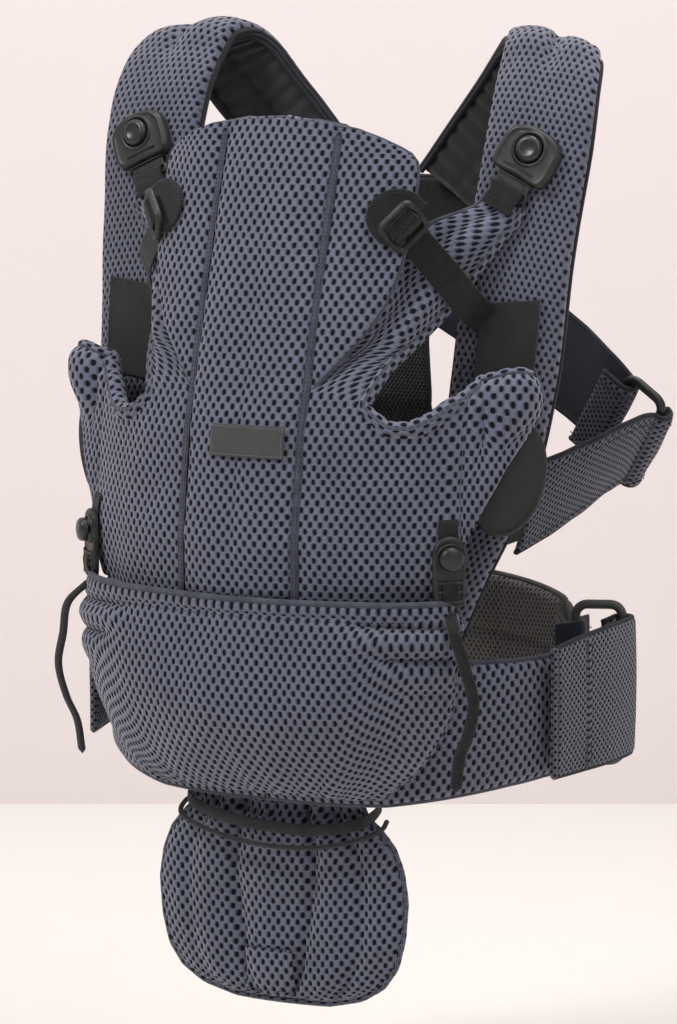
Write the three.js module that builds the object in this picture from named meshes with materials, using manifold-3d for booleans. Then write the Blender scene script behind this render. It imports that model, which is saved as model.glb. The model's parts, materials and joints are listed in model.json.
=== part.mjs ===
// Soft baby carrier. Millimetres, +Z up, -Y to the front (away from the wearer), +X to the wearer's left.
// Origin: the wearer's torso axis at the height of the middle of the waist belt.
// Every cloth piece is a closed sheet: a middle surface with a thickness. The left side is built and mirrored.
import * as THREE from "three";
import Module from "manifold-3d";

const wasm = await Module();
wasm.setup();
const { PI, sin, cos, sqrt, abs, min, max } = Math;
const V = (x, y, z) => new THREE.Vector3(x, y, z);
const lerp = (a, b, t) => a + (b - a) * t;
const smooth = (t) => {
  const c = min(1, max(0, t));
  return c * c * (3 - 2 * c);
};
const curve = (points) => new THREE.CatmullRomCurve3(points, false, "centripetal");

// ---- driving dimensions -------------------------------------------------
const GAP = 0.5;                     // clearance between touching layers
const PANEL_R = 190;                 // radius the front panel is curved to
const PANEL_T = 6;                   // spacer mesh with its lining
const STRAP_HALF = 36;               // half width of the padded shoulder strap
const STRAP_T = 7;                   // its mesh layer
const LINING_T = 6;                  // its quilted layer
const SIDE_HALF = 32;                // half width of the side strap and its return
const SIDE_T = 3.7;
const WEB_W = 22;                    // head support webbing
const WEB_T = 1.6;
const BELT_T = 9;                    // padded front of the waist belt
const WRAP_T = 4.2;                  // its folded ends
const FLEX_T = 1.2;                  // thin sewn-on webbing and patches
const HINGE_Z = 300;                 // the head support folds here
const HINGE_GAP = 5;

// straight pieces between the knots [[at, value], ...]
function table(knots, x) {
  if (x <= knots[0][0]) return knots[0][1];
  for (let i = 1; i < knots.length; i++)
    if (x <= knots[i][0]) {
      const [x0, y0] = knots[i - 1];
      const [x1, y1] = knots[i];
      return lerp(y0, y1, (x - x0) / (x1 - x0));
    }
  return knots[knots.length - 1][1];
}

// the value a share v of the way through a list, straight between its entries
function along(list, v) {
  const k = v * (list.length - 1);
  const i = min(list.length - 2, Math.floor(k + 1e-9));
  return lerp(list[i], list[i + 1], k - i);
}

// ---- scene graph --------------------------------------------------------
const carrier = new THREE.Group();
const left = new THREE.Group();
const right = new THREE.Group();
right.scale.x = -1;
carrier.add(left, right);

const look = (color, roughness) => new THREE.MeshStandardMaterial({ color, roughness, metalness: 0 });
const MESH = look(0x5a6075, 0.85);
const BLACK = look(0x2b2b2e, 0.9);
const NAVY = look(0x30323f, 0.8);
const GREY = look(0x6c6a68, 0.85);
const PLASTIC = look(0x3a3a3d, 0.45);

function add(name, geometry, material, parent = carrier, place = new THREE.Matrix4()) {
  const mesh = new THREE.Mesh(geometry, material);
  mesh.name = name;
  mesh.applyMatrix4(place);
  parent.add(mesh);
}
function pair(name, geometry, material, place) {
  add(name + "_l", geometry, material, left, place);
  add(name + "_r", geometry, material, right, place);
}

// ---- closed cloth sheets ------------------------------------------------
function geometryOf(positions, index) {
  const g = new THREE.BufferGeometry();
  g.setAttribute("position", new THREE.Float32BufferAttribute(positions, 3));
  // a negative volume means that the faces point inwards, so they are turned round
  const corner = (k) => new THREE.Vector3().fromArray(positions, index[k] * 3);
  let volume = 0;
  for (let i = 0; i < index.length; i += 3) volume += corner(i).dot(corner(i + 1).cross(corner(i + 2)));
  if (volume < 0)
    for (let i = 0; i < index.length; i += 3) [index[i + 1], index[i + 2]] = [index[i + 2], index[i + 1]];
  g.setIndex(index);
  g.computeVertexNormals();
  return g;
}

// point(u, v) is the middle surface, thick a number or thick(u, v); at the edges it is `soft` times as thick
function sheet(nu, nv, point, thick, soft = 0.55) {
  const step = 1e-3;
  const positions = [];
  const index = [];
  const top = [];
  const bottom = [];
  const store = (p, n, distance) => {
    positions.push(p.x + n.x * distance, p.y + n.y * distance, p.z + n.z * distance);
    return positions.length / 3 - 1;
  };
  for (let j = 0; j <= nv; j++) {
    top.push([]);
    bottom.push([]);
    for (let i = 0; i <= nu; i++) {
      const u = i / nu;
      const v = j / nv;
      const du = point(min(1, u + step), v).sub(point(max(0, u - step), v));
      const dv = point(u, min(1, v + step)).sub(point(u, max(0, v - step)));
      const normal = du.cross(dv).normalize();
      const edge = i === 0 || i === nu || j === 0 || j === nv;
      const half = ((typeof thick === "number" ? thick : thick(u, v)) / 2) * (edge ? soft : 1);
      const p = point(u, v);
      top[j].push(store(p, normal, half));
      bottom[j].push(store(p, normal, -half));
    }
  }
  const quad = (a, b, c, d) => index.push(a, b, c, a, c, d);
  for (let j = 0; j < nv; j++)
    for (let i = 0; i < nu; i++) {
      quad(top[j][i], top[j][i + 1], top[j + 1][i + 1], top[j + 1][i]);
      quad(bottom[j][i], bottom[j + 1][i], bottom[j + 1][i + 1], bottom[j][i + 1]);
    }
  for (let i = 0; i < nu; i++) {
    quad(top[0][i], bottom[0][i], bottom[0][i + 1], top[0][i + 1]);
    quad(top[nv][i], top[nv][i + 1], bottom[nv][i + 1], bottom[nv][i]);
  }
  for (let j = 0; j < nv; j++) {
    quad(top[j][0], top[j + 1][0], bottom[j + 1][0], bottom[j][0]);
    quad(top[j][nu], bottom[j][nu], bottom[j + 1][nu], top[j + 1][nu]);
  }
  return geometryOf(positions, index);
}

// A strap along stations {p: middle, w: width direction, half: half width}, each span an equal share of t.
// n is width x tangent, which faces away from the wearer.
function strapPath(stations) {
  const spans = stations.length - 1;
  const middle = curve(stations.map((s) => V(...s.p)));
  return (t) => {
    const k = min(spans - 1e-9, max(0, t * spans));
    const i = Math.floor(k);
    const a = stations[i];
    const b = stations[i + 1];
    const w = V(...a.w).normalize().lerp(V(...b.w).normalize(), smooth(k - i)).normalize();
    const n = w.clone().cross(middle.getTangent(t)).normalize();
    return { p: middle.getPoint(t), w, n, half: lerp(a.half, b.half, k - i) };
  };
}
// off moves the sheet along its normal, and shrink takes that much off each half width
function strapSheet(stations, nu, nv, thickness, { off = 0, shrink = 0, soft = 0.8 } = {}) {
  const at = strapPath(stations);
  const point = (u, v) => {
    const { p, w, n, half } = at(v);
    return p.clone().addScaledVector(w, (u * 2 - 1) * (half - shrink)).addScaledVector(n, off);
  };
  return sheet(nu, nv, point, thickness, soft);
}

// ---- solids and booleans ------------------------------------------------
const WELD = 1e4;                    // corners closer than 1 / WELD millimetres are one corner
function solid(g) {
  const flat = g.index ? g.toNonIndexed() : g;
  const p = flat.getAttribute("position");
  const seen = new Map();
  const verts = [];
  const corners = [];
  for (let i = 0; i < p.count; i++) {
    const key = [p.getX(i), p.getY(i), p.getZ(i)].map((c) => Math.round(c * WELD)).join();
    if (!seen.has(key)) {
      seen.set(key, verts.length / 3);
      verts.push(p.getX(i), p.getY(i), p.getZ(i));
    }
    corners.push(seen.get(key));
  }
  const tris = [];
  for (let i = 0; i < corners.length; i += 3) {
    const [a, b, c] = corners.slice(i, i + 3);
    if (a !== b && b !== c && a !== c) tris.push(a, b, c);
  }
  return new wasm.Manifold(
    new wasm.Mesh({ numProp: 3, vertProperties: new Float32Array(verts), triVerts: new Uint32Array(tris) }),
  );
}
function fromSolid(s) {
  const mesh = s.getMesh();
  const g = new THREE.BufferGeometry();
  g.setAttribute("position", new THREE.Float32BufferAttribute(mesh.vertProperties, 3));
  g.setIndex(Array.from(mesh.triVerts));
  g.computeVertexNormals();
  return g;
}
const clean = (g) => fromSolid(solid(g));
const cut = (a, ...tools) => fromSolid(tools.reduce((s, b) => s.subtract(solid(b)), solid(a)));
const join = (a, ...more) => fromSolid(more.reduce((s, b) => s.add(solid(b)), solid(a)));

// ---- plastics: outlines, plates, frames ---------------------------------
function rounded(width, height, r) {
  const s = new THREE.Shape();
  const x = width / 2 - r;
  const y = height / 2 - r;
  s.moveTo(-x, -y - r);
  s.absarc(x, -y, r, -PI / 2, 0);
  s.absarc(x, y, r, 0, PI / 2);
  s.absarc(-x, y, r, PI / 2, PI);
  s.absarc(-x, -y, r, PI, 1.5 * PI);
  return s;
}
function slot(width, height, r, cy = 0) {
  const corners = rounded(width, height, r).getPoints(1).map((p) => new THREE.Vector2(p.x, p.y + cy));
  return new THREE.Path(corners.reverse());
}
// a plate from z = 0 to depth, its rims bevelled
function plate(shape, depth, bevel, curveSegments) {
  const g = new THREE.ExtrudeGeometry(shape, {
    depth: depth - 2 * bevel,
    bevelThickness: bevel,
    bevelSize: bevel,
    bevelOffset: -bevel,
    bevelSegments: 1,
    curveSegments,
  });
  g.translate(0, 0, bevel);
  return g;
}
// local x and local z, out of the face; y follows
function frameAt(at, xDir, zDir) {
  const z = V(...zDir).normalize();
  const x = V(...xDir);
  x.addScaledVector(z, -x.dot(z)).normalize();
  return new THREE.Matrix4().makeBasis(x, z.clone().cross(x), z).setPosition(V(...at));
}
function box([x0, x1], [y0, y1], [z0, z1]) {
  const g = new THREE.BoxGeometry(x1 - x0, y1 - y0, z1 - z0);
  g.translate((x0 + x1) / 2, (y0 + y1) / 2, (z0 + z1) / 2);
  return g;
}
function disc(r, [z0, z1], y, sides) {
  const g = new THREE.CylinderGeometry(r, r, z1 - z0, sides);
  g.rotateX(PI / 2);
  g.translate(0, y, (z0 + z1) / 2);
  return g;
}
// profile [[radius, z], ...] turned about the local z axis through (0, y)
function turned(profile, y, sides) {
  const g = clean(new THREE.LatheGeometry(profile.map((q) => new THREE.Vector2(...q)), sides));
  g.rotateX(PI / 2);
  g.translate(0, y, 0);
  return g;
}
// a cord of elliptical section along a path: `wide` across the view and `deep` from front to back
function cord(path, wide, deep, steps) {
  const section = new THREE.Shape();
  section.absellipse(0, 0, deep / 2, wide / 2, 0, 2 * PI);
  const options = { steps, extrudePath: curve(path.map((p) => V(...p))), bevelEnabled: false, curveSegments: 4 };
  return clean(new THREE.ExtrudeGeometry(section, options));
}

// ---- front panel --------------------------------------------------------
const FRONT_Y = [[86, -152], [130, -153], [200, -144], [300, -118], [412, -85]];

// s along the panel's arc from the middle, out towards the front
function onPanel(s, z, out = 0) {
  const f = s / PANEL_R;
  const r = PANEL_R + out;
  return V(r * sin(f), table(FRONT_Y, z) + PANEL_R - r * cos(f), z);
}
// a panel with rows at those heights and that half width along its arc
function panelSheet(heights, halfAt) {
  const point = (u, v) => {
    const z = along(heights, v);
    return onPanel((u * 2 - 1) * table(halfAt, z), z);
  };
  return sheet(12, heights.length - 1, point, PANEL_T);
}

// chest panel: seat seam to the fold line, cut in for the armholes
const CHEST_HALF = [
  [90, 138], [128, 141], [140, 149], [201, 149], [204, 128], [207, 104], [213, 89], [220, 84], [231, 86],
  [242, 91], [252, 99], [261, 111], [265, 100], [272, 90], [297, 79],
];
const CHEST_ROWS = [
  90, 104, 118, 128, 140, 160, 180, 201, 204, 207, 213, 220, 231, 242, 252, 261, 265, 272, 284,
  HINGE_Z - HINGE_GAP / 2,
];
add("chest_panel", panelSheet(CHEST_ROWS, CHEST_HALF), MESH);

// head support: fold line to the rounded top
const HEAD_HALF = [
  [300, 86], [314, 87], [330, 90], [350, 95], [368, 97], [382, 93], [392, 82], [399, 62], [403, 40],
];
const HEAD_ROWS = [HINGE_Z + HINGE_GAP / 2, 314, 328, 342, 356, 368, 377, 384, 391, 397, 402];
add("head_support", panelSheet(HEAD_ROWS, HEAD_HALF), MESH);

// plain woven label
const LABEL = { middle: 7, half: 26, low: 186, high: 207, thick: 0.9 };
const labelPoint = (u, v) =>
  onPanel(LABEL.middle + (u * 2 - 1) * LABEL.half, lerp(LABEL.low, LABEL.high, v), PANEL_T / 2 + 1);
add("label", sheet(6, 2, labelPoint, LABEL.thick, 1), GREY);

// side flaps: the lobes that fold back from the chest panel to the size plates
const FLAP_ROOT = 151.3;             // arc length where the chest panel ends
const FLAP_END = { x: 170, y: -67 };
function flapPoint(u, v) {
  const low = lerp(142, 190, u);
  const high = 218 + 24 * sin(PI * min(1, u * 0.8 + 0.02)) - 8 * smooth((u - 0.6) / 0.4);
  const z = lerp(low, high, v);
  const root = onPanel(FLAP_ROOT, z);
  return V(lerp(root.x, FLAP_END.x, u), lerp(root.y, FLAP_END.y, u) - 5 * sin(PI * u), z);
}
pair("side_flap", sheet(5, 7, flapPoint, (u) => lerp(PANEL_T, 7, u), 0.7), MESH);

// ---- shoulder straps ----------------------------------------------------
// from the waist up the chest, over the shoulder and down to the crossing at the back
const STRAP = [
  { p: [98, -66, 52], w: [1, 0.28, 0], half: 18 },
  { p: [110, -58, 100], w: [1, 0.26, 0], half: 24 },
  { p: [130, -48, 165], w: [1, 0.24, 0.05], half: 33 },
  { p: [138, -36, 232], w: [1, 0.22, 0.08], half: STRAP_HALF },
  { p: [141, -22, 310], w: [1, 0.16, 0.1], half: STRAP_HALF + 1 },
  { p: [146, -6, 380], w: [1, 0.1, 0.06], half: STRAP_HALF + 1 },
  { p: [144, 14, 424], w: [1, 0.05, -0.04], half: STRAP_HALF },
  { p: [138, 36, 446], w: [1, 0, -0.16], half: STRAP_HALF - 1 },
  { p: [125, 56, 440], w: [0.95, 0, -0.3], half: STRAP_HALF - 2 },
  { p: [102, 66, 410], w: [0.86, 0, -0.5], half: STRAP_HALF - 3 },
  { p: [74, 71, 376], w: [0.8, 0, -0.6], half: STRAP_HALF - 4 },
  { p: [46, 74, 342], w: [0.82, 0, -0.57], half: STRAP_HALF - 5 },
];
const meshLayer = { off: (STRAP_T + GAP) / 2, soft: 0.6 };
const liningLayer = { off: -(LINING_T + GAP) / 2, shrink: 1.5, soft: 0.6 };
pair("shoulder_strap", strapSheet(STRAP, 2, 26, STRAP_T, meshLayer), MESH);
pair("strap_lining", strapSheet(STRAP, 2, 26, LINING_T, liningLayer), BLACK);

// u across, t along, out from the strap's face
const strapAt = strapPath(STRAP);
function onStrap(u, t, out) {
  const { p, w, n } = strapAt(t);
  return p.clone().addScaledVector(w, u).addScaledVector(n, STRAP_T + GAP / 2 + out);
}

// black patches that the head support webbing is sewn to
const PATCH = { across: [-19, 22], along: [0.255, 0.331], lift: 0.9 };
const patchPoint = (u, v) => onStrap(lerp(...PATCH.across, u), lerp(...PATCH.along, v), PATCH.lift);
pair("strap_patch", sheet(2, 6, patchPoint, FLEX_T, 1), BLACK);

// ---- back ---------------------------------------------------------------
// yoke where the straps cross
const YOKE_Y = 87.5;
const YOKE_HALF = [[252, 34], [290, 58], [318, 60], [352, 44]];
function yokePoint(u, v) {
  const z = lerp(252, 352, v);
  return V((u * 2 - 1) * table(YOKE_HALF, z), YOKE_Y, z);
}
add("back_yoke", sheet(4, 6, yokePoint, 6), BLACK);

// spine panel between the yoke and the lumbar pad, with an arched window
const SPINE_HALF = [[90, 44], [150, 40], [205, 36], [262, 22]];
const SPINE_Y = [[90, 84], [120, 68], [200, 54], [240, 68], [262, 80.5]];
function spinePoint(u, v) {
  const z = lerp(90, 262, v);
  return V((u * 2 - 1) * table(SPINE_HALF, z), table(SPINE_Y, z), z);
}
const ARCH = { half: 12, low: 60, spring: 174 };
const archShape = new THREE.Shape();
archShape.moveTo(-ARCH.half, ARCH.low);
archShape.lineTo(ARCH.half, ARCH.low);
archShape.absarc(0, ARCH.spring, ARCH.half, 0, PI);
const archCut = new THREE.ExtrudeGeometry(archShape, { depth: 120, bevelEnabled: false, curveSegments: 8 });
archCut.applyMatrix4(new THREE.Matrix4().makeBasis(V(1, 0, 0), V(0, 0, 1), V(0, -1, 0)).setPosition(0, 130, 0));
add("spine_panel", cut(sheet(6, 10, spinePoint, 4.5), archCut), BLACK);

// ---- rings --------------------------------------------------------------
const RING = { wide: 38, bar: 6, end: 8, thick: 6 };
const BAR_OFFSET = (RING.wide - RING.bar) / 2;
const FOLD_CLEAR = RING.bar / 2 + 0.8;   // from a bar's middle to the inside of cloth folded round it
function ringGeometry(long) {
  const s = rounded(RING.wide, long, 9);
  s.holes.push(slot(RING.wide - 2 * RING.bar, long - 2 * RING.end, 4));
  const g = clean(plate(s, RING.thick, 1, 3));
  g.translate(0, 0, -RING.thick / 2);
  return g;
}
// a ring's frame: x out across the bars, y along them, z out of its face
function ringFrame(at, longDir, outDir) {
  const long = V(...longDir).normalize();
  const out = V(...outDir);
  out.addScaledVector(long, -out.dot(long)).normalize();
  const face = out.clone().cross(long);
  const middle = V(...at);
  return {
    long, out, face,
    matrix: new THREE.Matrix4().makeBasis(out, long, face).setPosition(middle),
    inner: middle.clone().addScaledVector(out, -BAR_OFFSET),
    outer: middle.clone().addScaledVector(out, BAR_OFFSET),
  };
}
// points round a bar, from direction a through b to -a
const roundBar = (bar, a, b, r, steps = 6) =>
  Array.from({ length: steps + 1 }, (_, i) => {
    const f = (PI * i) / steps;
    return bar.clone().addScaledVector(a, r * cos(f)).addScaledVector(b, r * sin(f));
  });

// ---- side straps and their returns --------------------------------------
const side = ringFrame([174, 79, 187], [0.54, -0.33, 0.78], [0.82, -0.03, -0.58]);
const back = side.face.clone().negate();
const SIDE_FOLD = FOLD_CLEAR + 3;
pair("side_ring", ringGeometry(84), PLASTIC, side.matrix);
const sideStation = (p, w) => ({ p, w, half: SIDE_HALF });
const barStations = (bar) =>
  roundBar(bar, back, side.out, SIDE_FOLD).map((p) => sideStation(p.toArray(), side.long.toArray()));

// from the crossing to the ring's inner bar, round it, and a short tab back on the inside
const sideTab = side.inner.clone().addScaledVector(side.face, SIDE_FOLD).addScaledVector(side.out, -16);
const SIDE_STRAP = [
  sideStation([42, 73.6, 284], [0.53, 0, 0.85]),
  sideStation([78, 81, 260], [0.53, -0.05, 0.85]),
  sideStation([118, 89, 232], [0.53, -0.18, 0.82]),
  sideStation([145, 88.5, 212], [0.54, -0.28, 0.79]),
  ...barStations(side.inner),
  sideStation(sideTab.toArray(), side.long.toArray()),
];
pair("side_strap", strapSheet(SIDE_STRAP, 2, 30, SIDE_T), NAVY);

// round the ring's outer bar and forward to the shoulder strap
const RETURN_STRAP = [
  ...barStations(side.outer),
  sideStation([181, 58, 174], [0.5, -0.28, 0.82]),
  sideStation([168, 33, 162], [0.42, -0.18, 0.89]),
  sideStation([154, 11, 151], [0.34, -0.08, 0.93]),
  sideStation([142, -8, 143], [0.28, 0, 0.95]),
];
pair("return_strap", strapSheet(RETURN_STRAP, 2, 24, SIDE_T), MESH);

// ---- safety buckles on the shoulder straps ------------------------------
const buckleFrame = frameAt([147, -15.6, 378.5], [0.9, 0.02, -0.44], [0.1, -0.955, 0.28]);
const inBuckle = (x, y, z) => V(x, y, z).applyMatrix4(buckleFrame);
const HOUSING_T = 11;
const POCKET = { half: 13.4, z: [1.6, 4.4] };   // the tongue slides in here
const BUTTON = { r: 9, y: 3, well: 5.3, travel: 2.2, proud: 2.4 };

const shield = new THREE.Shape();
shield.moveTo(-20, -18);
shield.lineTo(20, -18);
shield.quadraticCurveTo(24, -10, 23, 0);
shield.bezierCurveTo(22, 12, 12, 19, 0, 19);
shield.bezierCurveTo(-12, 19, -22, 12, -23, 0);
shield.quadraticCurveTo(-24, -10, -20, -18);
const housing = cut(
  plate(shield, HOUSING_T, 1.6, 8),
  box([-POCKET.half, POCKET.half], [-30, 0], POCKET.z),
  disc(BUTTON.r + 0.4, [BUTTON.well, HOUSING_T + 20], BUTTON.y, 32),
);
pair("buckle_housing", housing, PLASTIC, buckleFrame);

const buttonLow = BUTTON.well + BUTTON.travel + 0.25;
const buttonHigh = HOUSING_T + BUTTON.proud;
const BUTTON_PROFILE = [
  [0, buttonLow], [BUTTON.r, buttonLow], [BUTTON.r, buttonHigh - 1.6], [BUTTON.r - 0.8, buttonHigh - 0.5],
  [BUTTON.r - 3, buttonHigh], [0, buttonHigh - 0.5],
];
pair("buckle_button", turned(BUTTON_PROFILE, BUTTON.y, 32), PLASTIC, buckleFrame);

// tongue: a blade in the pocket and a bar outside it for the webbing
const blade = box([-13, 13], [-27, -0.6], [1.9, 4.1]);
const tongueBar = box([-15, 15], [-31, -24], [1.5, 4.5]);
const webSlot = box([-12, 12], [-28, -25.2], [-5, 12]);
pair("buckle_tongue", cut(join(blade, tongueBar), webSlot), PLASTIC, buckleFrame);

// short webbing through the tongue's slot and over the wing's end: local y and z along it
const STUB = { half: 11.4, y: [-26.7, -26.7, -28.6, -33, -40], z: [0.1, 4.2, 6.4, 7.4, 8] };
const stubPoint = (u, v) => inBuckle((u * 2 - 1) * STUB.half, along(STUB.y, v), along(STUB.z, v));
pair("buckle_web", sheet(1, 8, stubPoint, FLEX_T, 1), BLACK);

// ---- wings --------------------------------------------------------------
// from the armhole's inner edge up to the buckle, the lower edge rolled; the soft tip folds as the tongue slides out
const wingLow = curve([
  onPanel(117, 263), V(108, -60, 278), V(128, -38, 304), inBuckle(15, -56, 1.5), inBuckle(14.5, -33, 0.8),
]);
const wingHigh = curve([
  onPanel(91, 299), V(90.5, -72, 319), V(100, -44, 338), inBuckle(-13.5, -56, 1.5), inBuckle(-14.5, -33, 0.8),
]);
const WING_TIP = 0.76;               // share of the wing where the tip starts
const TIP_GAP = 0.012;
const ROLL = { share: 0.3, thick: 8 };
const WING_T = 4.5;
function wingSheet(rows, from, to) {
  const point = (u, v) => {
    const t = lerp(from, to, v);
    return wingLow.getPoint(t).lerp(wingHigh.getPoint(t), u);
  };
  const thick = (u, v) =>
    u < ROLL.share ? lerp(ROLL.thick, WING_T, min(1, lerp(from, to, v) / WING_TIP)) : WING_T;
  return sheet(5, rows, point, thick, 0.8);
}
pair("wing", wingSheet(11, 0, WING_TIP), MESH);
pair("wing_tip", wingSheet(4, WING_TIP + TIP_GAP, 1), MESH);

// ---- head support webbing and ladder locks ------------------------------
const WEB_SEWN = { u: -13, t: 0.318 };   // where it is sewn to the strap patch
const webStart = onPanel(92, 336, 11);
const webEnd = onStrap(WEB_SEWN.u, WEB_SEWN.t, 2.4 + WEB_T / 2);

// the lock's frame: x across the webbing, y back along it, z out of the face
const lockY = webStart.clone().sub(webEnd).normalize();
const lockZ = V(0.56, -0.82, 0.1);
lockZ.addScaledVector(lockY, -lockZ.dot(lockY)).normalize();
const lockX = lockY.clone().cross(lockZ);
const lockFrame = new THREE.Matrix4().makeBasis(lockX, lockY, lockZ).setPosition(webStart);
const inLock = (x, y, z) => V(x, y, z).applyMatrix4(lockFrame);
const LOCK = { wide: 30, long: 27, thick: 4, slot: 5.4, slotY: 4.9 };
const lockShape = rounded(LOCK.wide, LOCK.long, 3);
for (const y of [-LOCK.slotY, LOCK.slotY]) lockShape.holes.push(slot(WEB_W + 1.4, LOCK.slot, 1, y));
const lock = clean(plate(lockShape, LOCK.thick, 0.7, 2));
lock.translate(0, 0, -LOCK.thick / 2);
pair("head_lock", lock, PLASTIC, lockFrame);

// the webbing: through the far slot, over the lock's bar, back through the near slot, and on to the patch
const sewnAt = (out) => onStrap(WEB_SEWN.u, WEB_SEWN.t, out);
const sewnN = sewnAt(1).sub(sewnAt(0)).normalize();
const sewnDir = V(0.8, 0.1, -0.6);
sewnDir.addScaledVector(sewnN, -sewnDir.dot(sewnN)).normalize();
const sewnW = sewnN.clone().cross(sewnDir);
if (sewnW.dot(lockX) < 0) sewnW.negate();
const webRoute = curve([
  inLock(0, 5.4, -3.6), inLock(0, 4.7, 0), inLock(0, 2.6, 3.5), inLock(0, 0, 4), inLock(0, -2.6, 3.5),
  inLock(0, -4.9, 0), inLock(0, -5.8, -2.6), inLock(0, -15, -4.2),
  webStart.clone().lerp(webEnd, 0.55).addScaledVector(sewnN, 6),
  webEnd.clone().addScaledVector(sewnDir, -9).addScaledVector(sewnN, 6),
  webEnd,
  webEnd.clone().addScaledVector(sewnDir, 10),
]);
function webPoint(u, v) {
  const w = lockX.clone().lerp(sewnW, smooth((v - 0.62) / 0.25)).normalize();
  return webRoute.getPoint(v).addScaledVector(w, ((u * 2 - 1) * WEB_W) / 2);
}
pair("head_web", sheet(1, 36, webPoint, WEB_T, 1), BLACK);

// ---- size plates behind the flaps ---------------------------------------
const SIZE_PLATE = { halfWide: 25, halfLong: 40, thick: 3.2 };
const oval = new THREE.Shape();
oval.absellipse(0, 0, SIZE_PLATE.halfWide, SIZE_PLATE.halfLong, 0, 2 * PI);
const sizePlate = clean(plate(oval, SIZE_PLATE.thick, 1, 10));
sizePlate.translate(0, 0, -SIZE_PLATE.thick / 2);
pair("size_plate", sizePlate, PLASTIC, frameAt([154, -63, 171], [0.916, 0.4, -0.22], [0.4, -0.916, 0]));

// ---- leg strap buckles, knobs and tails ---------------------------------
const LEG = { s: 141, z: 112, out: 7.5 };
const legN = [sin(LEG.s / PANEL_R), -cos(LEG.s / PANEL_R), 0];
const legFrame = frameAt(onPanel(LEG.s, LEG.z, LEG.out).toArray(), [-legN[1], legN[0], 0], legN);
const LEG_PLATE = { half: 11, foot: 8, low: -22, corner: -17, head: 14, thick: 4.5 };
const legShape = new THREE.Shape();
legShape.moveTo(-LEG_PLATE.foot, LEG_PLATE.low);
legShape.lineTo(LEG_PLATE.foot, LEG_PLATE.low);
legShape.lineTo(LEG_PLATE.half, LEG_PLATE.corner);
legShape.absarc(0, LEG_PLATE.head, LEG_PLATE.half, 0, PI);
legShape.lineTo(-LEG_PLATE.half, LEG_PLATE.corner);
for (const y of [-8.5, -15]) legShape.holes.push(slot(14, 3.6, 1, y));

const KNOB = { stem: 3, r: 8, y: 11, low: 1.6, seat: 6.2, high: 11 };
const stemHole = disc(KNOB.stem + 0.35, [-5, 20], KNOB.y, 16);
pair("leg_buckle", cut(plate(legShape, LEG_PLATE.thick, 0.8, 5), stemHole), PLASTIC, legFrame);
const KNOB_PROFILE = [
  [0, KNOB.low], [KNOB.stem, KNOB.low], [KNOB.stem, KNOB.seat], [KNOB.r - 0.6, KNOB.seat],
  [KNOB.r, KNOB.seat + 0.8], [KNOB.r, KNOB.high - 1.4], [KNOB.r - 0.8, KNOB.high - 0.4], [0, KNOB.high],
];
pair("leg_knob", turned(KNOB_PROFILE, KNOB.y, 28), PLASTIC, legFrame);

// loose tails of the leg straps, hanging from the buckles
const tailTop = V(0, -25.5, 5.5).applyMatrix4(legFrame).toArray();
const LEG_TAIL = [
  tailTop, [146, -123, 74], [152, -120, 52], [157, -118, 30], [152, -116, 8], [145, -114, -8], [142, -113, -28],
];
pair("leg_tail", cord(LEG_TAIL, 8, 3, 18), BLACK);

// ---- seat pouch ---------------------------------------------------------
// down the pouch: height, half width, the middle's Y, how far the sides curve back
const POUCH = [
  { v: 0, z: 87, half: 137, y: -153, back: 50 },
  { v: 0.12, z: 74, half: 141, y: -161, back: 55 },
  { v: 0.28, z: 52, half: 141, y: -166, back: 60 },
  { v: 0.45, z: 26, half: 136, y: -167, back: 62 },
  { v: 0.62, z: 2, half: 126, y: -162, back: 58 },
  { v: 0.78, z: -18, half: 112, y: -151, back: 44 },
  { v: 0.9, z: -31, half: 98, y: -139, back: 27 },
  { v: 1, z: -40, half: 86, y: -127, back: 13 },
];
const POUCH_ROUND = 0.96;            // how close to a half circle its section is
const bulge = (s) => (1 - sqrt(1 - (POUCH_ROUND * s) ** 2)) / (1 - sqrt(1 - POUCH_ROUND ** 2));
function pouchPoint(u, v) {
  const at = (key) => table(POUCH.map((row) => [row.v, row[key]]), v);
  const s = u * 2 - 1;
  return V(at("half") * s, at("y") + at("back") * bulge(s), at("z"));
}
add("seat_pouch", sheet(14, 12, pouchPoint, PANEL_T), MESH);

// ---- waist belt ---------------------------------------------------------
// a band standing up along points [x, y, low, high]
function bandSheet(points, nu, nv, thick, soft) {
  const route = curve(points.map((q) => V(q[0], q[1], 0)));
  const lows = points.map((q) => q[2]);
  const highs = points.map((q) => q[3]);
  const point = (u, v) => {
    const c = route.getPoint(v);
    return V(c.x, c.y, lerp(along(lows, v), along(highs, v), u));
  };
  return sheet(nu, nv, point, thick, soft);
}
const BELT = [
  [0.4, -111, -48, 48], [40, -110.5, -48, 49], [84, -101, -47, 49], [118, -82, -42, 47], [148, -50, -36, 46],
  [162, -24, -33, 46], [168, 0, -32, 50], [170.5, 27, -31, 54],
];
pair("belt_front", bandSheet(BELT, 3, 18, BELT_T, 0.6), MESH);

const waist = ringFrame([170, 45, 19], [0, 0, 1], [0.92, 0.38, 0]);
const waistBack = waist.face.clone().negate();
pair("waist_ring", ringGeometry(114), GREY, waist.matrix);
const WAIST_FOLD = FOLD_CLEAR + 2.2;
const barBand = (bar, a, b, low, high) => roundBar(bar, a, b, WAIST_FOLD).map((p) => [p.x, p.y, low, high]);

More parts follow.
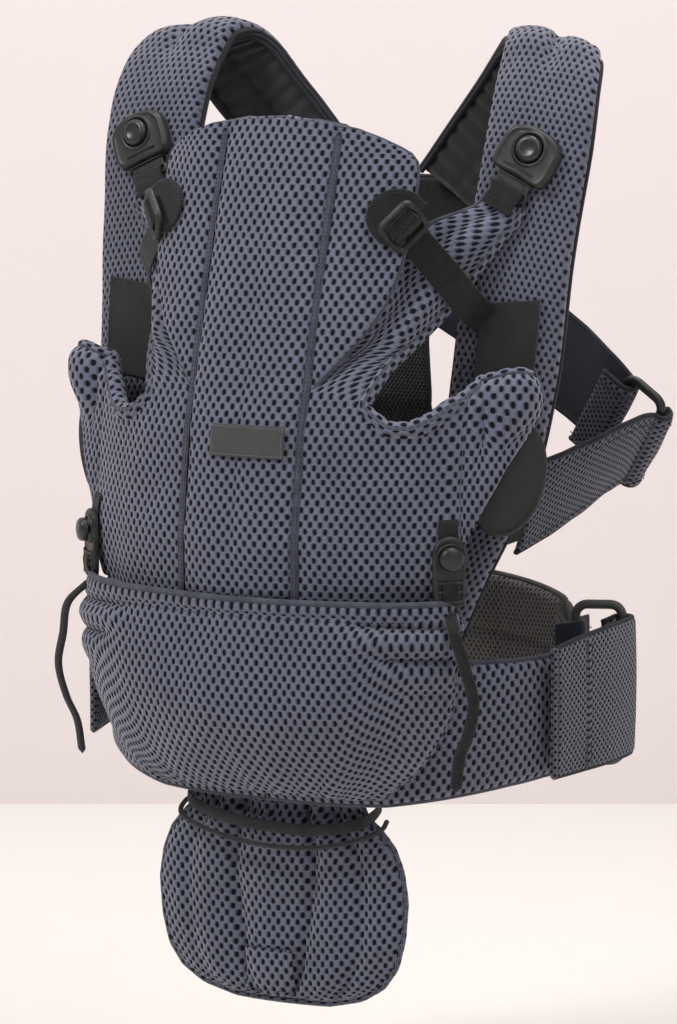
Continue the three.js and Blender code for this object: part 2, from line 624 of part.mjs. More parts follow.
// the belt's adjustable end, wrapped round the ring's outer bar, and the tab from the pad to its inner bar
const BELT_WRAP = [
  [177, -38, -31, 55], [184, -8, -30, 60], [190, 20, -29, 63],
  ...barBand(waist.outer, waist.out, waistBack, -28, 64),
  [176, 38, -28, 62],
];
pair("belt_wrap", bandSheet(BELT_WRAP, 2, 26, WRAP_T, 0.8), MESH);
const LUMBAR_TAB = [
  [154, 62, -26, 62],
  ...barBand(waist.inner, waistBack, waist.out, -26, 62),
  [145, 28, -26, 60],
];
pair("lumbar_tab", bandSheet(LUMBAR_TAB, 2, 14, WRAP_T, 0.8), BLACK);

// lumbar pad: part of an ellipse round the wearer's back
const LUMBAR = { wide: 163, deep: 104, y: 12, halfAngle: (61 * PI) / 180, thick: 13 };
function lumbarPoint(u, v) {
  const s = u * 2 - 1;
  const f = s * LUMBAR.halfAngle;
  const low = lerp(-46, -36, s * s);
  const high = lerp(78, 66, s * s);
  return V(LUMBAR.wide * sin(f), LUMBAR.y + LUMBAR.deep * cos(f), lerp(low, high, v));
}
add("lumbar_pad", sheet(9, 6, lumbarPoint, LUMBAR.thick, 0.5), GREY);

// ---- bib and its elastics -----------------------------------------------
const BIB_HALF = [
  [-190, 36], [-184, 60], [-174, 76], [-160, 86], [-140, 91], [-115, 93], [-95, 90], [-80, 84], [-68, 74],
  [-60, 65], [-52, 62],
];
const BIB = { top: -52, low: -190, y: -93, thin: 9, thick: 22 };
function bibPoint(u, v) {
  const z = lerp(BIB.top, BIB.low, v);
  const s = u * 2 - 1;
  return V(s * table(BIB_HALF, z), BIB.y + 4 * s * s - 4 * (1 - smooth(v * 4)), z);
}
function bibThick(u, v) {
  const across = sqrt(max(0, sin(PI * u)));
  return lerp(BIB.thin, BIB.thick, across * smooth((1 - v) * 5 + 0.2) * smooth(v * 4 + 0.35));
}
add("bib", sheet(10, 14, bibPoint, bibThick, 0.6), MESH);
const BIB_BAND = [
  [-67, -82, -50], [-68, -92, -52], [-63, -104, -56], [-40, -113, -62], [0, -117, -66], [42, -114, -66],
  [67, -105, -61], [71, -92, -57], [70, -82, -54],
];
const BIB_CORD = [
  [-71, -82, -58], [-73, -93, -61], [-68, -107, -66], [-40, -116, -74], [4, -119, -79], [44, -116, -77],
  [71, -107, -70], [77, -93, -66], [75, -82, -63],
];
add("bib_band", cord(BIB_BAND, 8, 2.4, 24), BLACK);
add("bib_cord", cord(BIB_CORD, 3.4, 3.4, 24), BLACK);

export default carrier;
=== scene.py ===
# Soft baby carrier: every visible piece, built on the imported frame.
# Shapes are worked out in millimetres in the CAD frame (+Z up, -Y to the front) and turned into metres
# when a mesh is made. The left side is built, and the right side is its mirror image.
import json
import math

import bpy
import numpy as np
from mathutils import Vector
from mathutils.bvhtree import BVHTree
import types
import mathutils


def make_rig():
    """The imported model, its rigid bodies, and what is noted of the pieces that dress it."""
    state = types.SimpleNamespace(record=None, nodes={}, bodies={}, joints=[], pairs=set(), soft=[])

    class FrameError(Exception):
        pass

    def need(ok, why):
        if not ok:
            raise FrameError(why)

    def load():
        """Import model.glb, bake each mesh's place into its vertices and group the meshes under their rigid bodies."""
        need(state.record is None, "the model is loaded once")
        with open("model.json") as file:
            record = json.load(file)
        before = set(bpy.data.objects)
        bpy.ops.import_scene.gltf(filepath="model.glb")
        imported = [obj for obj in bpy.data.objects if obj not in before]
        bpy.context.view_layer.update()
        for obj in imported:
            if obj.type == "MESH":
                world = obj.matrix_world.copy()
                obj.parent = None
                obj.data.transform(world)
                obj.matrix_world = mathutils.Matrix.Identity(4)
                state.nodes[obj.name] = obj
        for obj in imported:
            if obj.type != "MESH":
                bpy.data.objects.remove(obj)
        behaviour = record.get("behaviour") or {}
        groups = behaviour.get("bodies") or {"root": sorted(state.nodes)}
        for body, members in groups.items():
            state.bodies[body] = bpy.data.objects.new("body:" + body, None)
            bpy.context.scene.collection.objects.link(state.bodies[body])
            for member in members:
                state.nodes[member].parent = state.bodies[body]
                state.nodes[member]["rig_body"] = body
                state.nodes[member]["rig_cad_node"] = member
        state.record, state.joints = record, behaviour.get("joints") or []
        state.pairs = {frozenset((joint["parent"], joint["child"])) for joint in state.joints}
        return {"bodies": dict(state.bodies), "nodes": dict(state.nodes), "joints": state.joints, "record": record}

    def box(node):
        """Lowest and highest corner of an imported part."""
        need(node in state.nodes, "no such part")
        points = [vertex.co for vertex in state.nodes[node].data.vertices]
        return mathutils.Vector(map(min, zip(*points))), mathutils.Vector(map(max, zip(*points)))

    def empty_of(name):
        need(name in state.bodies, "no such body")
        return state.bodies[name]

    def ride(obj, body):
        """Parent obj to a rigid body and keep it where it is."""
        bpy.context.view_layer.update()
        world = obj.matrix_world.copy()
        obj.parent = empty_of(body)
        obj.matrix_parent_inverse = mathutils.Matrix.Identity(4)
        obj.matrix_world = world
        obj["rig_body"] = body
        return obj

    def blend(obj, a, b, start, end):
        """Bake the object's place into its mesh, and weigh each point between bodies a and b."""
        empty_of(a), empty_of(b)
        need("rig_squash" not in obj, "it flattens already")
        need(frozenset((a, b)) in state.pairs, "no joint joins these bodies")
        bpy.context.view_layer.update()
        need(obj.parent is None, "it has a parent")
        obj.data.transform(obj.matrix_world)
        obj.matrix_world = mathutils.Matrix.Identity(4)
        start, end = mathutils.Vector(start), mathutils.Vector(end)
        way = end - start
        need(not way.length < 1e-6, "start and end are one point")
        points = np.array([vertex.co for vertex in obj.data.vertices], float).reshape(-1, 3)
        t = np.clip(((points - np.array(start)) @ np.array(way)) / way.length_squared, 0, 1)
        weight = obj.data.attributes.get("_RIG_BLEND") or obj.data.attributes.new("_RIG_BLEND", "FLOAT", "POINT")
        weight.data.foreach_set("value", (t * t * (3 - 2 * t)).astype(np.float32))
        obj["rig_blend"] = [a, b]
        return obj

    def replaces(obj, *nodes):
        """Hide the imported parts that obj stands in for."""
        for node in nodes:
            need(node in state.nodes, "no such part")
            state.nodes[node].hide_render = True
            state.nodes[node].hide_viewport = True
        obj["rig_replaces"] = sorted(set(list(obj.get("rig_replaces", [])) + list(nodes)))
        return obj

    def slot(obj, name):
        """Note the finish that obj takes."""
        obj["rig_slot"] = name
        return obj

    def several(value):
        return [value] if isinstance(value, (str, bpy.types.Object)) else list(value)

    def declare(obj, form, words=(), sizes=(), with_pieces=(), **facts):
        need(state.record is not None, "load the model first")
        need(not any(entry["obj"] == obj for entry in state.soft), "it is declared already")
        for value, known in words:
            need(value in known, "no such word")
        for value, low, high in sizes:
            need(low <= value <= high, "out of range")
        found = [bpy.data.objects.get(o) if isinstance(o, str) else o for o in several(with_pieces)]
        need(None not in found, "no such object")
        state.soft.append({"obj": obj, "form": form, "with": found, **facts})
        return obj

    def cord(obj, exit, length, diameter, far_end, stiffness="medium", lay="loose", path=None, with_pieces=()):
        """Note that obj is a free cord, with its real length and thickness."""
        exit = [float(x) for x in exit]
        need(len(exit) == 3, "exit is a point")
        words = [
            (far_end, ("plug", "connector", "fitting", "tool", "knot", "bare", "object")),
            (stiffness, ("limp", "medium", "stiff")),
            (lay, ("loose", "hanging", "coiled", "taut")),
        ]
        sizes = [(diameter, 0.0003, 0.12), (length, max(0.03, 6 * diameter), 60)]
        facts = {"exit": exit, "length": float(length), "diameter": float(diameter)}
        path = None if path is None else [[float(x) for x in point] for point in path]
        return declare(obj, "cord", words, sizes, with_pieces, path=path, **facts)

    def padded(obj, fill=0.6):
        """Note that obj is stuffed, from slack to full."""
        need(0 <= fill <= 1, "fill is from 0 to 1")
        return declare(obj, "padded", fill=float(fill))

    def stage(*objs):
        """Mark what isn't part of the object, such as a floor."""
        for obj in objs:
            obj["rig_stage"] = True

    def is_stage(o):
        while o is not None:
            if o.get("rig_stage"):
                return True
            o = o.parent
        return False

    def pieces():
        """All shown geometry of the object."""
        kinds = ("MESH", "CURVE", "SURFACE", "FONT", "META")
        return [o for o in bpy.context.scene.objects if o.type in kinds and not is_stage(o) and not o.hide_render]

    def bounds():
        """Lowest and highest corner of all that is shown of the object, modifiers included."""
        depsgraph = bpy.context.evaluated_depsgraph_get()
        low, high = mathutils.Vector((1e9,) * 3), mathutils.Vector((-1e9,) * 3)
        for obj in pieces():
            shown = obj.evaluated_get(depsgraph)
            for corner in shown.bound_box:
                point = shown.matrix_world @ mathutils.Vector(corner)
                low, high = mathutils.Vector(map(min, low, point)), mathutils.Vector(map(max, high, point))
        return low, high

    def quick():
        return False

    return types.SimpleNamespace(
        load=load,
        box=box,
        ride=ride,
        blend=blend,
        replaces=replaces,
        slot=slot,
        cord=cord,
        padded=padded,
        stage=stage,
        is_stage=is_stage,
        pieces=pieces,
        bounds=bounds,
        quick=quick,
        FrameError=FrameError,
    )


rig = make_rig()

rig.load()
cad_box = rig.bounds()
MM = 0.001
SIDES = (("l", 1.0), ("r", -1.0))


# ---- small maths ---------------------------------------------------------------------------------
def v3(*values):
    return np.array(values, float)


def unit(v):
    v = np.asarray(v, float)
    return v / np.maximum(np.linalg.norm(v, axis=-1, keepdims=True), 1e-12)


def smooth(t):
    t = np.clip(t, 0.0, 1.0)
    return t * t * (3.0 - 2.0 * t)


def lerp(a, b, t):
    return a + (b - a) * t


def bump(x, centre, width):
    """A smooth hill of height 1 at the centre."""
    return np.exp(-(((x - centre) / width) ** 2))


def table(knots, x):
    """Straight pieces between the knots (at, value)."""
    at, value = zip(*knots)
    return np.interp(x, at, value)


def spline(points):
    """at(t) on the centripetal Catmull-Rom curve through the points, each span an equal share of t."""
    p = np.array(points, float)
    ext = np.vstack([2 * p[0] - p[1], p, 2 * p[-1] - p[-2]])
    spans = len(p) - 1

    def at(t):
        t = np.asarray(t, float)
        k = np.clip(t * spans, 0, spans - 1e-9)
        i = np.floor(k).astype(int)
        f = (k - i)[..., None]
        x0, x1, x2, x3 = (ext[i + n] for n in range(4))
        d0, d1, d2 = (
            np.maximum(np.linalg.norm(b - a, axis=-1, keepdims=True), 1e-8) ** 0.5
            for a, b in ((x0, x1), (x1, x2), (x2, x3))
        )
        t1 = ((x1 - x0) / d0 - (x2 - x0) / (d0 + d1) + (x2 - x1) / d1) * d1
        t2 = ((x2 - x1) / d1 - (x3 - x1) / (d1 + d2) + (x3 - x2) / d2) * d1
        a = 2 * x1 - 2 * x2 + t1 + t2
        b = -3 * x1 + 3 * x2 - 2 * t1 - t2
        return ((a * f + b) * f + t1) * f + x1

    return at


def ripple(x, y, size, seed):
    """Smooth unevenness from -1 to 1 with features of about that size, the same on each run."""
    rng = np.random.default_rng(seed)
    total = np.zeros(np.broadcast(x, y).shape)
    for _ in range(6):
        angle = rng.uniform(0, 2 * math.pi)
        wave = 2 * math.pi / (size * rng.uniform(0.7, 1.6))
        total += np.sin(wave * (x * math.cos(angle) + y * math.sin(angle)) + rng.uniform(0, 6.3))
    return total / 3.5


def spread(count, rim=0.0, first=True, last=True):
    """Values from 0 to 1, with extra ones close to each end for a rounded rim that takes that share."""
    ends = [0.0, 0.12, 0.36, 0.68]
    low = [e * rim for e in ends] if first and rim else []
    high = [1 - e * rim for e in reversed(ends)] if last and rim else []
    inner = np.linspace(rim if low else 0.0, 1 - rim if high else 1.0, count)
    return np.array(low + list(inner) + high)


# ---- meshes from numbers -------------------------------------------------------------------------
# A sheet is a dict: P points (n, 3), F quads (m, 4), UV (n, 2) in millimetres of cloth, u and v (n,) and
# shape (rows, columns).
def grid_faces(rows, columns):
    index = np.arange(rows * columns).reshape(rows, columns)
    quads = np.stack([index[:-1, :-1], index[:-1, 1:], index[1:, 1:], index[1:, :-1]], axis=-1)
    return quads.reshape(-1, 4)


def lengths(points, axis):
    """Length run along the rows (axis 1) or columns (axis 0) of a grid of points."""
    steps = np.linalg.norm(np.diff(points, axis=axis), axis=-1)
    pad = [(0, 0), (0, 0)]
    pad[axis] = (1, 0)
    return np.pad(np.cumsum(steps, axis=axis), pad)


def sheet(surface, us, vs, uv=None, middle=False):
    """surface(u, v) gives points; uv(u, v) gives cloth coordinates, or else lengths do."""
    u, v = np.meshgrid(us, vs)
    points = surface(u, v)
    if uv is None:
        across = lengths(points, 1)
        if middle:
            across = across - across[:, [len(us) // 2]]
        cloth = np.stack([across, lengths(points, 0)], axis=-1)
    else:
        cloth = np.stack(uv(u, v), axis=-1)
    return {
        "P": points.reshape(-1, 3),
        "F": grid_faces(len(vs), len(us)),
        "UV": cloth.reshape(-1, 2),
        "u": u.ravel(),
        "v": v.ravel(),
        "shape": (len(vs), len(us)),
    }


def grid_of(s):
    """A sheet's points as rows and columns."""
    return s["P"].reshape(*s["shape"], 3)


def edge(s, side):
    """The points along one edge of a sheet."""
    g = grid_of(s)
    return {"left": g[:, 0], "right": g[:, -1], "low": g[0], "high": g[-1]}[side]


def ring_of(s):
    """The points right round a sheet's border."""
    far_side = edge(s, "high")[::-1][1:]
    return np.vstack([edge(s, "low"), edge(s, "right")[1:], far_side, edge(s, "left")[::-1][1:-1]])


def welded(*sheets):
    """Several sheets as one, with the points that coincide made one."""
    points = np.vstack([s["P"] for s in sheets])
    cloth = np.vstack([s["UV"] for s in sheets])
    start = 0
    faces = []
    for s in sheets:
        faces.append(s["F"] + start)
        start += len(s["P"])
    faces = np.vstack(faces)
    _, first, new = np.unique(
        np.round(points / 0.02).astype(int), axis=0, return_index=True, return_inverse=True
    )
    new = new.ravel()
    return {"P": points[first], "F": new[faces], "UV": cloth[first], "u": None, "v": None, "shape": None}


def normals(points, faces):
    a, b, c, d = (points[faces[:, i]] for i in range(4))
    face = np.cross(c - a, d - b)
    total = np.zeros_like(points)
    for i in range(4):
        np.add.at(total, faces[:, i], face)
    return unit(total)


def normal_grid(s):
    """A sheet's normals as rows and columns."""
    return normals(s["P"], s["F"]).reshape(*s["shape"], 3)


def facing_front(s):
    """The sheet with its faces turned towards -Y."""
    if normals(s["P"], s["F"])[len(s["P"]) // 2][1] > 0:
        s["F"] = s["F"][:, ::-1]
    return s


def border(faces):
    """Edges that only one face has, in that face's order."""
    e = np.vstack([faces[:, [i, (i + 1) % 4]] for i in range(4)])
    e = e[e[:, 0] != e[:, 1]]
    key = np.sort(e, axis=1)
    _, index, count = np.unique(key, axis=0, return_index=True, return_counts=True)
    return e[index[count == 1]]


def nearest(points, targets):
    """Distance from each point to the nearest target."""
    out = np.empty(len(points))
    for start in range(0, len(points), 2000):
        part = points[start : start + 2000]
        out[start : start + 2000] = np.sqrt(
            np.maximum(((part[:, None, :] - targets[None]) ** 2).sum(-1), 0).min(1)
        )
    return out


def shell(s, thick, rim=None, out=0.0, inside=0.0, front_slot=0, back_slot=0):
    """A closed body from a sheet: thick millimetres in all, rounded over rim millimetres at its border.
    out and inside are added to the front's and the back's distance from the sheet."""
    points, faces = s["P"], s["F"]
    n = normals(points, faces)
    thick = np.broadcast_to(thick, len(points))
    rim = np.broadcast_to(thick / 2 if rim is None else rim, len(points))
    edges = border(faces)
    on_border = np.zeros(len(points), bool)
    on_border[edges.ravel()] = True
    reach = nearest(points, points[on_border])
    full = np.sqrt(np.clip(1 - (1 - np.clip(reach / rim, 0, 1)) ** 2, 0, 1))
    front = points + n * ((thick / 2 + out) * full)[:, None]
    back = points - n * ((thick / 2 + inside) * full)[:, None]
    middle = np.where(on_border)[0]
    back_index = np.arange(len(points)) + len(points)
    back_index[middle] = middle
    front[middle] = points[middle]
    every = np.vstack([front, back])
    quads = np.vstack([faces, back_index[faces][:, ::-1]])
    slots = np.r_[np.full(len(faces), front_slot), np.full(len(faces), back_slot)]
    used, new = np.unique(quads, return_inverse=True)
    cloth = np.vstack([s["UV"], s["UV"]])[used]
    return {"P": every[used], "F": new.reshape(quads.shape), "UV": cloth, "slots": slots}


def frames_along(points, closed=False):
    """Two directions square to a line of points, carried along without twist."""
    p = np.asarray(points, float)
    if closed:
        tangent = unit(np.roll(p, -1, 0) - np.roll(p, 1, 0))
    else:
        tangent = unit(np.gradient(p, axis=0))
    start = v3(0, 0, 1) if abs(tangent[0][2]) < 0.9 else v3(1, 0, 0)
    side = unit(np.cross(tangent[0], start))
    sides = []
    for t in tangent:
        side = unit(side - t * side.dot(t))
        sides.append(side)
    sides = np.array(sides)
    return sides, np.cross(tangent, sides)


def tube(points, radius, sides=8, closed=False, slot=0, flat=1.0, wide=None):
    """A round cord along the points, or a flat one whose wide direction and flatness are given."""
    p = np.asarray(points, float)
    a, b = frames_along(p, closed)
    if wide is not None:
        t = np.cross(a, b)
        w = np.broadcast_to(np.asarray(wide, float), p.shape)
        a = unit(w - t * (w * t).sum(-1, keepdims=True))
        b = np.cross(t, a)
    radius = np.broadcast_to(radius, len(p))
    if not closed:
        tip = np.array([0.0, 0.55, 0.9])
        t = unit(np.gradient(p, axis=0))
        head = [p[0] - t[0] * radius[0] * (1 - k) * 0.8 for k in tip]
        tail = [p[-1] + t[-1] * radius[-1] * (1 - k) * 0.8 for k in reversed(tip)]
        p = np.vstack([head, p, tail])
        radius = np.r_[
            radius[0] * np.array([0.05, 0.6, 0.9]), radius, radius[-1] * np.array([0.9, 0.6, 0.05])
        ]
        a = np.vstack([np.repeat(a[:1], 3, 0), a, np.repeat(a[-1:], 3, 0)])
        b = np.vstack([np.repeat(b[:1], 3, 0), b, np.repeat(b[-1:], 3, 0)])
    turn = np.arange(sides) * 2 * math.pi / sides
    ring = (
        p[:, None]
        + a[:, None] * (radius[:, None] * np.cos(turn))[..., None]
        + b[:, None] * (flat * radius[:, None] * np.sin(turn))[..., None]
    )
    rows = len(p)
    index = np.arange(rows * sides).reshape(rows, sides)
    nxt = np.roll(index, -1, 1)
    if closed:
        quads = np.stack([index, nxt, np.roll(nxt, -1, 0), np.roll(index, -1, 0)], -1).reshape(-1, 4)
    else:
        quads = np.stack([index[:-1], nxt[:-1], nxt[1:], index[1:]], -1).reshape(-1, 4)
        caps = []
        for ring_index in (index[0][::-1], index[-1]):
            for k in range(1, sides - 1, 2):
                last = ring_index[min(k + 2, sides - 1)]
                caps.append([ring_index[0], ring_index[k], ring_index[k + 1], last])
        quads = np.vstack([quads, np.array(caps)])
    run = np.r_[0, np.cumsum(np.linalg.norm(np.diff(p, axis=0), axis=-1))]
    around = np.broadcast_to(turn * radius.mean(), (rows, sides))
    cloth = np.stack([around, np.broadcast_to(run[:, None], (rows, sides))], -1)
    return {
        "P": ring.reshape(-1, 3), "F": quads, "UV": cloth.reshape(-1, 2), "slots": np.full(len(quads), slot)
    }


def evenly(points, step):
    """Points a step apart along a line, and the directions there."""
    p = np.asarray(points, float)
    run = np.r_[0, np.cumsum(np.linalg.norm(np.diff(p, axis=0), axis=-1))]
    count = max(2, int(run[-1] / step) + 1)
    at = np.linspace(0, run[-1], count)
    out = np.stack([np.interp(at, run, p[:, i]) for i in range(3)], -1)
    return out, unit(np.gradient(out, axis=0))


SIDE_EDGES = ("left", "right")


def piped(s, names, step, radius, slot, sides=8):
    """Cords along those edges of a sheet."""
    return [tube(evenly(edge(s, name), step)[0], radius, slot=slot, sides=sides) for name in names]


def stitches(points, up, pitch=3.4, length=2.3, width=0.8, slot=0):
    """A row of sewn stitches, each a small thread loop lying along the line."""
    centres, along = evenly(points, pitch)
    up = np.broadcast_to(np.asarray(up, float), np.shape(points))
    given, wanted = np.linspace(0, 1, len(up)), np.linspace(0, 1, len(centres))
    up = np.stack([np.interp(wanted, given, up[:, i]) for i in range(3)], -1)
    side = unit(np.cross(along, up))
    lift = np.cross(side, along)
    rings = ((-0.5, 0.25, -0.3), (-0.3, 0.9, 0.05), (0.0, 1.0, 0.25), (0.3, 0.9, 0.05), (0.5, 0.25, -0.3))
    sides = 6
    turn = np.arange(sides) * 2 * math.pi / sides
    body = []
    for at, size, height in rings:
        radius = size * width / 2
        for t in turn:
            body.append((at * length, math.cos(t) * radius, math.sin(t) * radius + height * width))
    body = np.array(body)
    every = (
        centres[:, None]
        + along[:, None] * body[None, :, :1]
        + side[:, None] * body[None, :, 1:2]
        + lift[:, None] * body[None, :, 2:]
    )
    index = np.arange(len(rings) * sides).reshape(len(rings), sides)
    nxt = np.roll(index, -1, 1)
    quads = np.stack([index[:-1], nxt[:-1], nxt[1:], index[1:]], -1).reshape(-1, 4)
    caps = []
    for ring_index in (index[0][::-1], index[-1]):
        caps.append([ring_index[0], ring_index[1], ring_index[2], ring_index[3]])
        caps.append([ring_index[0], ring_index[3], ring_index[4], ring_index[5]])
    quads = np.vstack([quads, caps])
    count = len(centres)
    faces = (quads[None] + (np.arange(count) * len(body))[:, None, None]).reshape(-1, 4)
    cloth = np.zeros((count * len(body), 2))
    return {"P": every.reshape(-1, 3), "F": faces, "UV": cloth, "slots": np.full(len(faces), slot)}


def piece(name, parts, materials, sign=1.0, sharp=50):
    """One Blender object from parts made by shell, tube or stitches; sign -1 mirrors it to the right side."""
    start = 0
    points, faces, cloth, slots = [], [], [], []
    for p in parts:
        points.append(p["P"])
        faces.append(p["F"] + start)
        cloth.append(p["UV"])
        slots.append(p["slots"])
        start += len(p["P"])
    points, faces, cloth, slots = np.vstack(points), np.vstack(faces), np.vstack(cloth), np.concatenate(slots)
    if sign < 0:
        points = points * v3(-1, 1, 1)
        faces = faces[:, ::-1]
    clean = [[i for k, i in enumerate(f) if i not in f[:k]] for f in faces.tolist()]
    keep = [k for k, f in enumerate(clean) if len(f) > 2]
    mesh = bpy.data.meshes.new(name)
    mesh.from_pydata((points * MM).tolist(), [], [clean[k] for k in keep])
    layer = mesh.uv_layers.new(name="cloth")
    corner = np.empty(len(mesh.loops), int)
    mesh.loops.foreach_get("vertex_index", corner)
    layer.data.foreach_set("uv", (cloth[corner] * MM).astype(np.float32).ravel())
    for m in materials:
        mesh.materials.append(m)
    mesh.polygons.foreach_set("material_index", slots[keep].astype(np.int32))
    mesh.polygons.foreach_set("use_smooth", np.ones(len(keep), bool))
    mesh.update()
    if sharp:
        mesh.set_sharp_from_angle(angle=math.radians(sharp))
    obj = bpy.data.objects.new(name, mesh)
    bpy.context.scene.collection.objects.link(obj)
    return obj


def place(obj, body, slot, *replaced):
    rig.ride(obj, body)
    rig.slot(obj, slot)
    if replaced:
        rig.replaces(obj, *replaced)
    return obj


# ---- materials -----------------------------------------------------------------------------------
class Nodes:
    """Short names for building a material's nodes. Values may be numbers or sockets."""

    def __init__(self, name, roughness=0.8, sheen=0.0, specular=0.3):
        self.material = bpy.data.materials.new(name)
        self.material.use_nodes = True
        self.tree = self.material.node_tree
        self.shader = self.tree.nodes["Principled BSDF"]
        self.set(self.shader, "Roughness", roughness)
        self.set(self.shader, "Sheen Weight", sheen)
        self.set(self.shader, "Sheen Roughness", 0.5)
        self.set(self.shader, "Specular IOR Level", specular)

    def set(self, node, name, value):
        if isinstance(value, bpy.types.NodeSocket):
            self.tree.links.new(value, node.inputs[name])
        else:
            node.inputs[name].default_value = value

    def math(self, operation, *values, clamp=False):
        node = self.tree.nodes.new("ShaderNodeMath")
        node.operation = operation
        node.use_clamp = clamp
        for i, value in enumerate(values):
            self.set(node, i, value)
        return node.outputs[0]

    def cloth(self):
        """The cloth's own coordinates, across and along, in millimetres."""
        node = self.tree.nodes.new("ShaderNodeUVMap")
        node.uv_map = "cloth"
        split = self.tree.nodes.new("ShaderNodeSeparateXYZ")
        self.tree.links.new(node.outputs[0], split.inputs[0])
        return self.math("MULTIPLY", split.outputs[0], 1000), self.math("MULTIPLY", split.outputs[1], 1000)

    def place(self):
        node = self.tree.nodes.new("ShaderNodeTexCoord")
        return node.outputs["Object"]

    def noise(self, size_mm, detail=2.0, roughness=0.5):
        node = self.tree.nodes.new("ShaderNodeTexNoise")
        self.tree.links.new(self.place(), node.inputs["Vector"])
        self.set(node, "Scale", 1000.0 / size_mm)
        self.set(node, "Detail", detail)
        self.set(node, "Roughness", roughness)
        return node.outputs[0]

    def ramp(self, value, low, high, to_low=0.0, to_high=1.0):
        node = self.tree.nodes.new("ShaderNodeMapRange")
        node.interpolation_type = "SMOOTHSTEP"
        for name, v in (
            ("Value", value), ("From Min", low), ("From Max", high), ("To Min", to_low), ("To Max", to_high)
        ):
            self.set(node, name, v)
        return node.outputs[0]

    def mix(self, factor, a, b):
        node = self.tree.nodes.new("ShaderNodeMix")
        node.data_type = "RGBA"
        self.set(node, 0, factor)
        self.set(node, 6, a if isinstance(a, bpy.types.NodeSocket) else (*a, 1.0))
        self.set(node, 7, b if isinstance(b, bpy.types.NodeSocket) else (*b, 1.0))
        return node.outputs[2]

    def finish(self, color, height=None, depth_mm=0.4, strength=1.0):
        self.set(
            self.shader, "Base Color", color if isinstance(color, bpy.types.NodeSocket) else (*color, 1.0)
        )
        if height is not None:
            node = self.tree.nodes.new("ShaderNodeBump")
            self.set(node, "Height", height)
            self.set(node, "Distance", depth_mm * MM)
            self.set(node, "Strength", strength)
            self.tree.links.new(node.outputs[0], self.shader.inputs["Normal"])
        return self.material


def hole_lattice(n, x, y, pitch, hole, shift=0.0, soft=(0.82, 1.08)):
    """1 inside the holes of a staggered lattice and 0 between them. pitch is across and from row to row."""
    row = n.math("FLOOR", n.math("DIVIDE", y, pitch[1]))
    odd = n.math("MULTIPLY", n.math("FLOORED_MODULO", row, 2.0), 0.5)
    across = n.math("ADD", n.math("DIVIDE", x, pitch[0]), n.math("ADD", odd, shift))
    in_x = n.math("SUBTRACT", n.math("FRACT", across), 0.5)
    in_y = n.math("SUBTRACT", n.math("FRACT", n.math("DIVIDE", y, pitch[1])), 0.5)
    dx = n.math("MULTIPLY", in_x, 2.0 * pitch[0] / hole[0])
    dy = n.math("MULTIPLY", in_y, 2.0 * pitch[1] / hole[1])
    reach = n.math("SQRT", n.math("ADD", n.math("MULTIPLY", dx, dx), n.math("MULTIPLY", dy, dy)))
    return n.ramp(reach, soft[0], soft[1], 1.0, 0.0)


def spacer_mesh(name, pitch, hole, yarn, inside, dots=None):
    """Knitted spacer mesh: soft yarn round a staggered lattice of holes. The holes' colour is the dark layer below,
    darkened further as painted shade in their depth, and the yarn round each hole's rim is darkened as painted shade.
    """
    n = Nodes(name, roughness=0.85, sheen=0.35, specular=0.2)
    x, y = n.cloth()
    drift = n.noise(14.0)
    wander = n.math("MULTIPLY", n.math("SUBTRACT", drift, 0.5), 1.6)
    x = n.math("ADD", x, wander)
    y = n.math("ADD", y, n.math("MULTIPLY", wander, 0.7))
    holes = hole_lattice(n, x, y, pitch, hole)
    # wall is 1 on the yarn round each hole's rim and fades out; it paints shade on that yarn, and it lowers the bump
    # there
    wall = hole_lattice(n, x, y, pitch, (hole[0] * 1.15, hole[1] * 1.15), soft=(0.8, 1.75))
    if dots:
        small = hole_lattice(n, x, y, pitch, dots, shift=0.5)
        holes = n.math("MAXIMUM", holes, n.math("MULTIPLY", small, 0.85))
    ribs = n.math("SINE", n.math("MULTIPLY", x, 2 * math.pi / (pitch[0] / 6)))
    courses = n.math("SINE", n.math("MULTIPLY", y, 2 * math.pi / (pitch[1] / 5)))
    knit = n.math("MULTIPLY", n.math("ADD", ribs, courses), 0.25)
    fuzz = n.noise(0.9, detail=3.0)
    tone = n.math("ADD", n.math("MULTIPLY", n.noise(45.0), 0.35), n.math("MULTIPLY", fuzz, 0.35))
    tone = n.math("ADD", tone, n.math("MULTIPLY", knit, 0.25))
    light = n.mix(n.ramp(tone, 0.15, 0.6), tuple(c * 0.78 for c in yarn), tuple(c * 1.14 for c in yarn))
    # painted shade: the yarn is darkened towards each hole's rim
    light = n.mix(n.math("MULTIPLY", wall, 0.72), light, tuple(c * 0.38 for c in yarn))
    # the holes take the inside colour: the dark layer below, darkened further as painted shade in the holes' depth
    color = n.mix(holes, light, inside)
    fill = n.math("SUBTRACT", 1.0, holes)
    height = n.math(
        "ADD", n.math("MULTIPLY", n.math("SUBTRACT", 1.0, wall), 0.8), n.math("MULTIPLY", fill, 0.5)
    )
    height = n.math("ADD", height, n.math("MULTIPLY", n.math("ADD", knit, fuzz), 0.14))
    n.set(n.shader, "Sheen Weight", n.math("MULTIPLY", fill, 0.35))
    return n.finish(color, height, depth_mm=0.9)


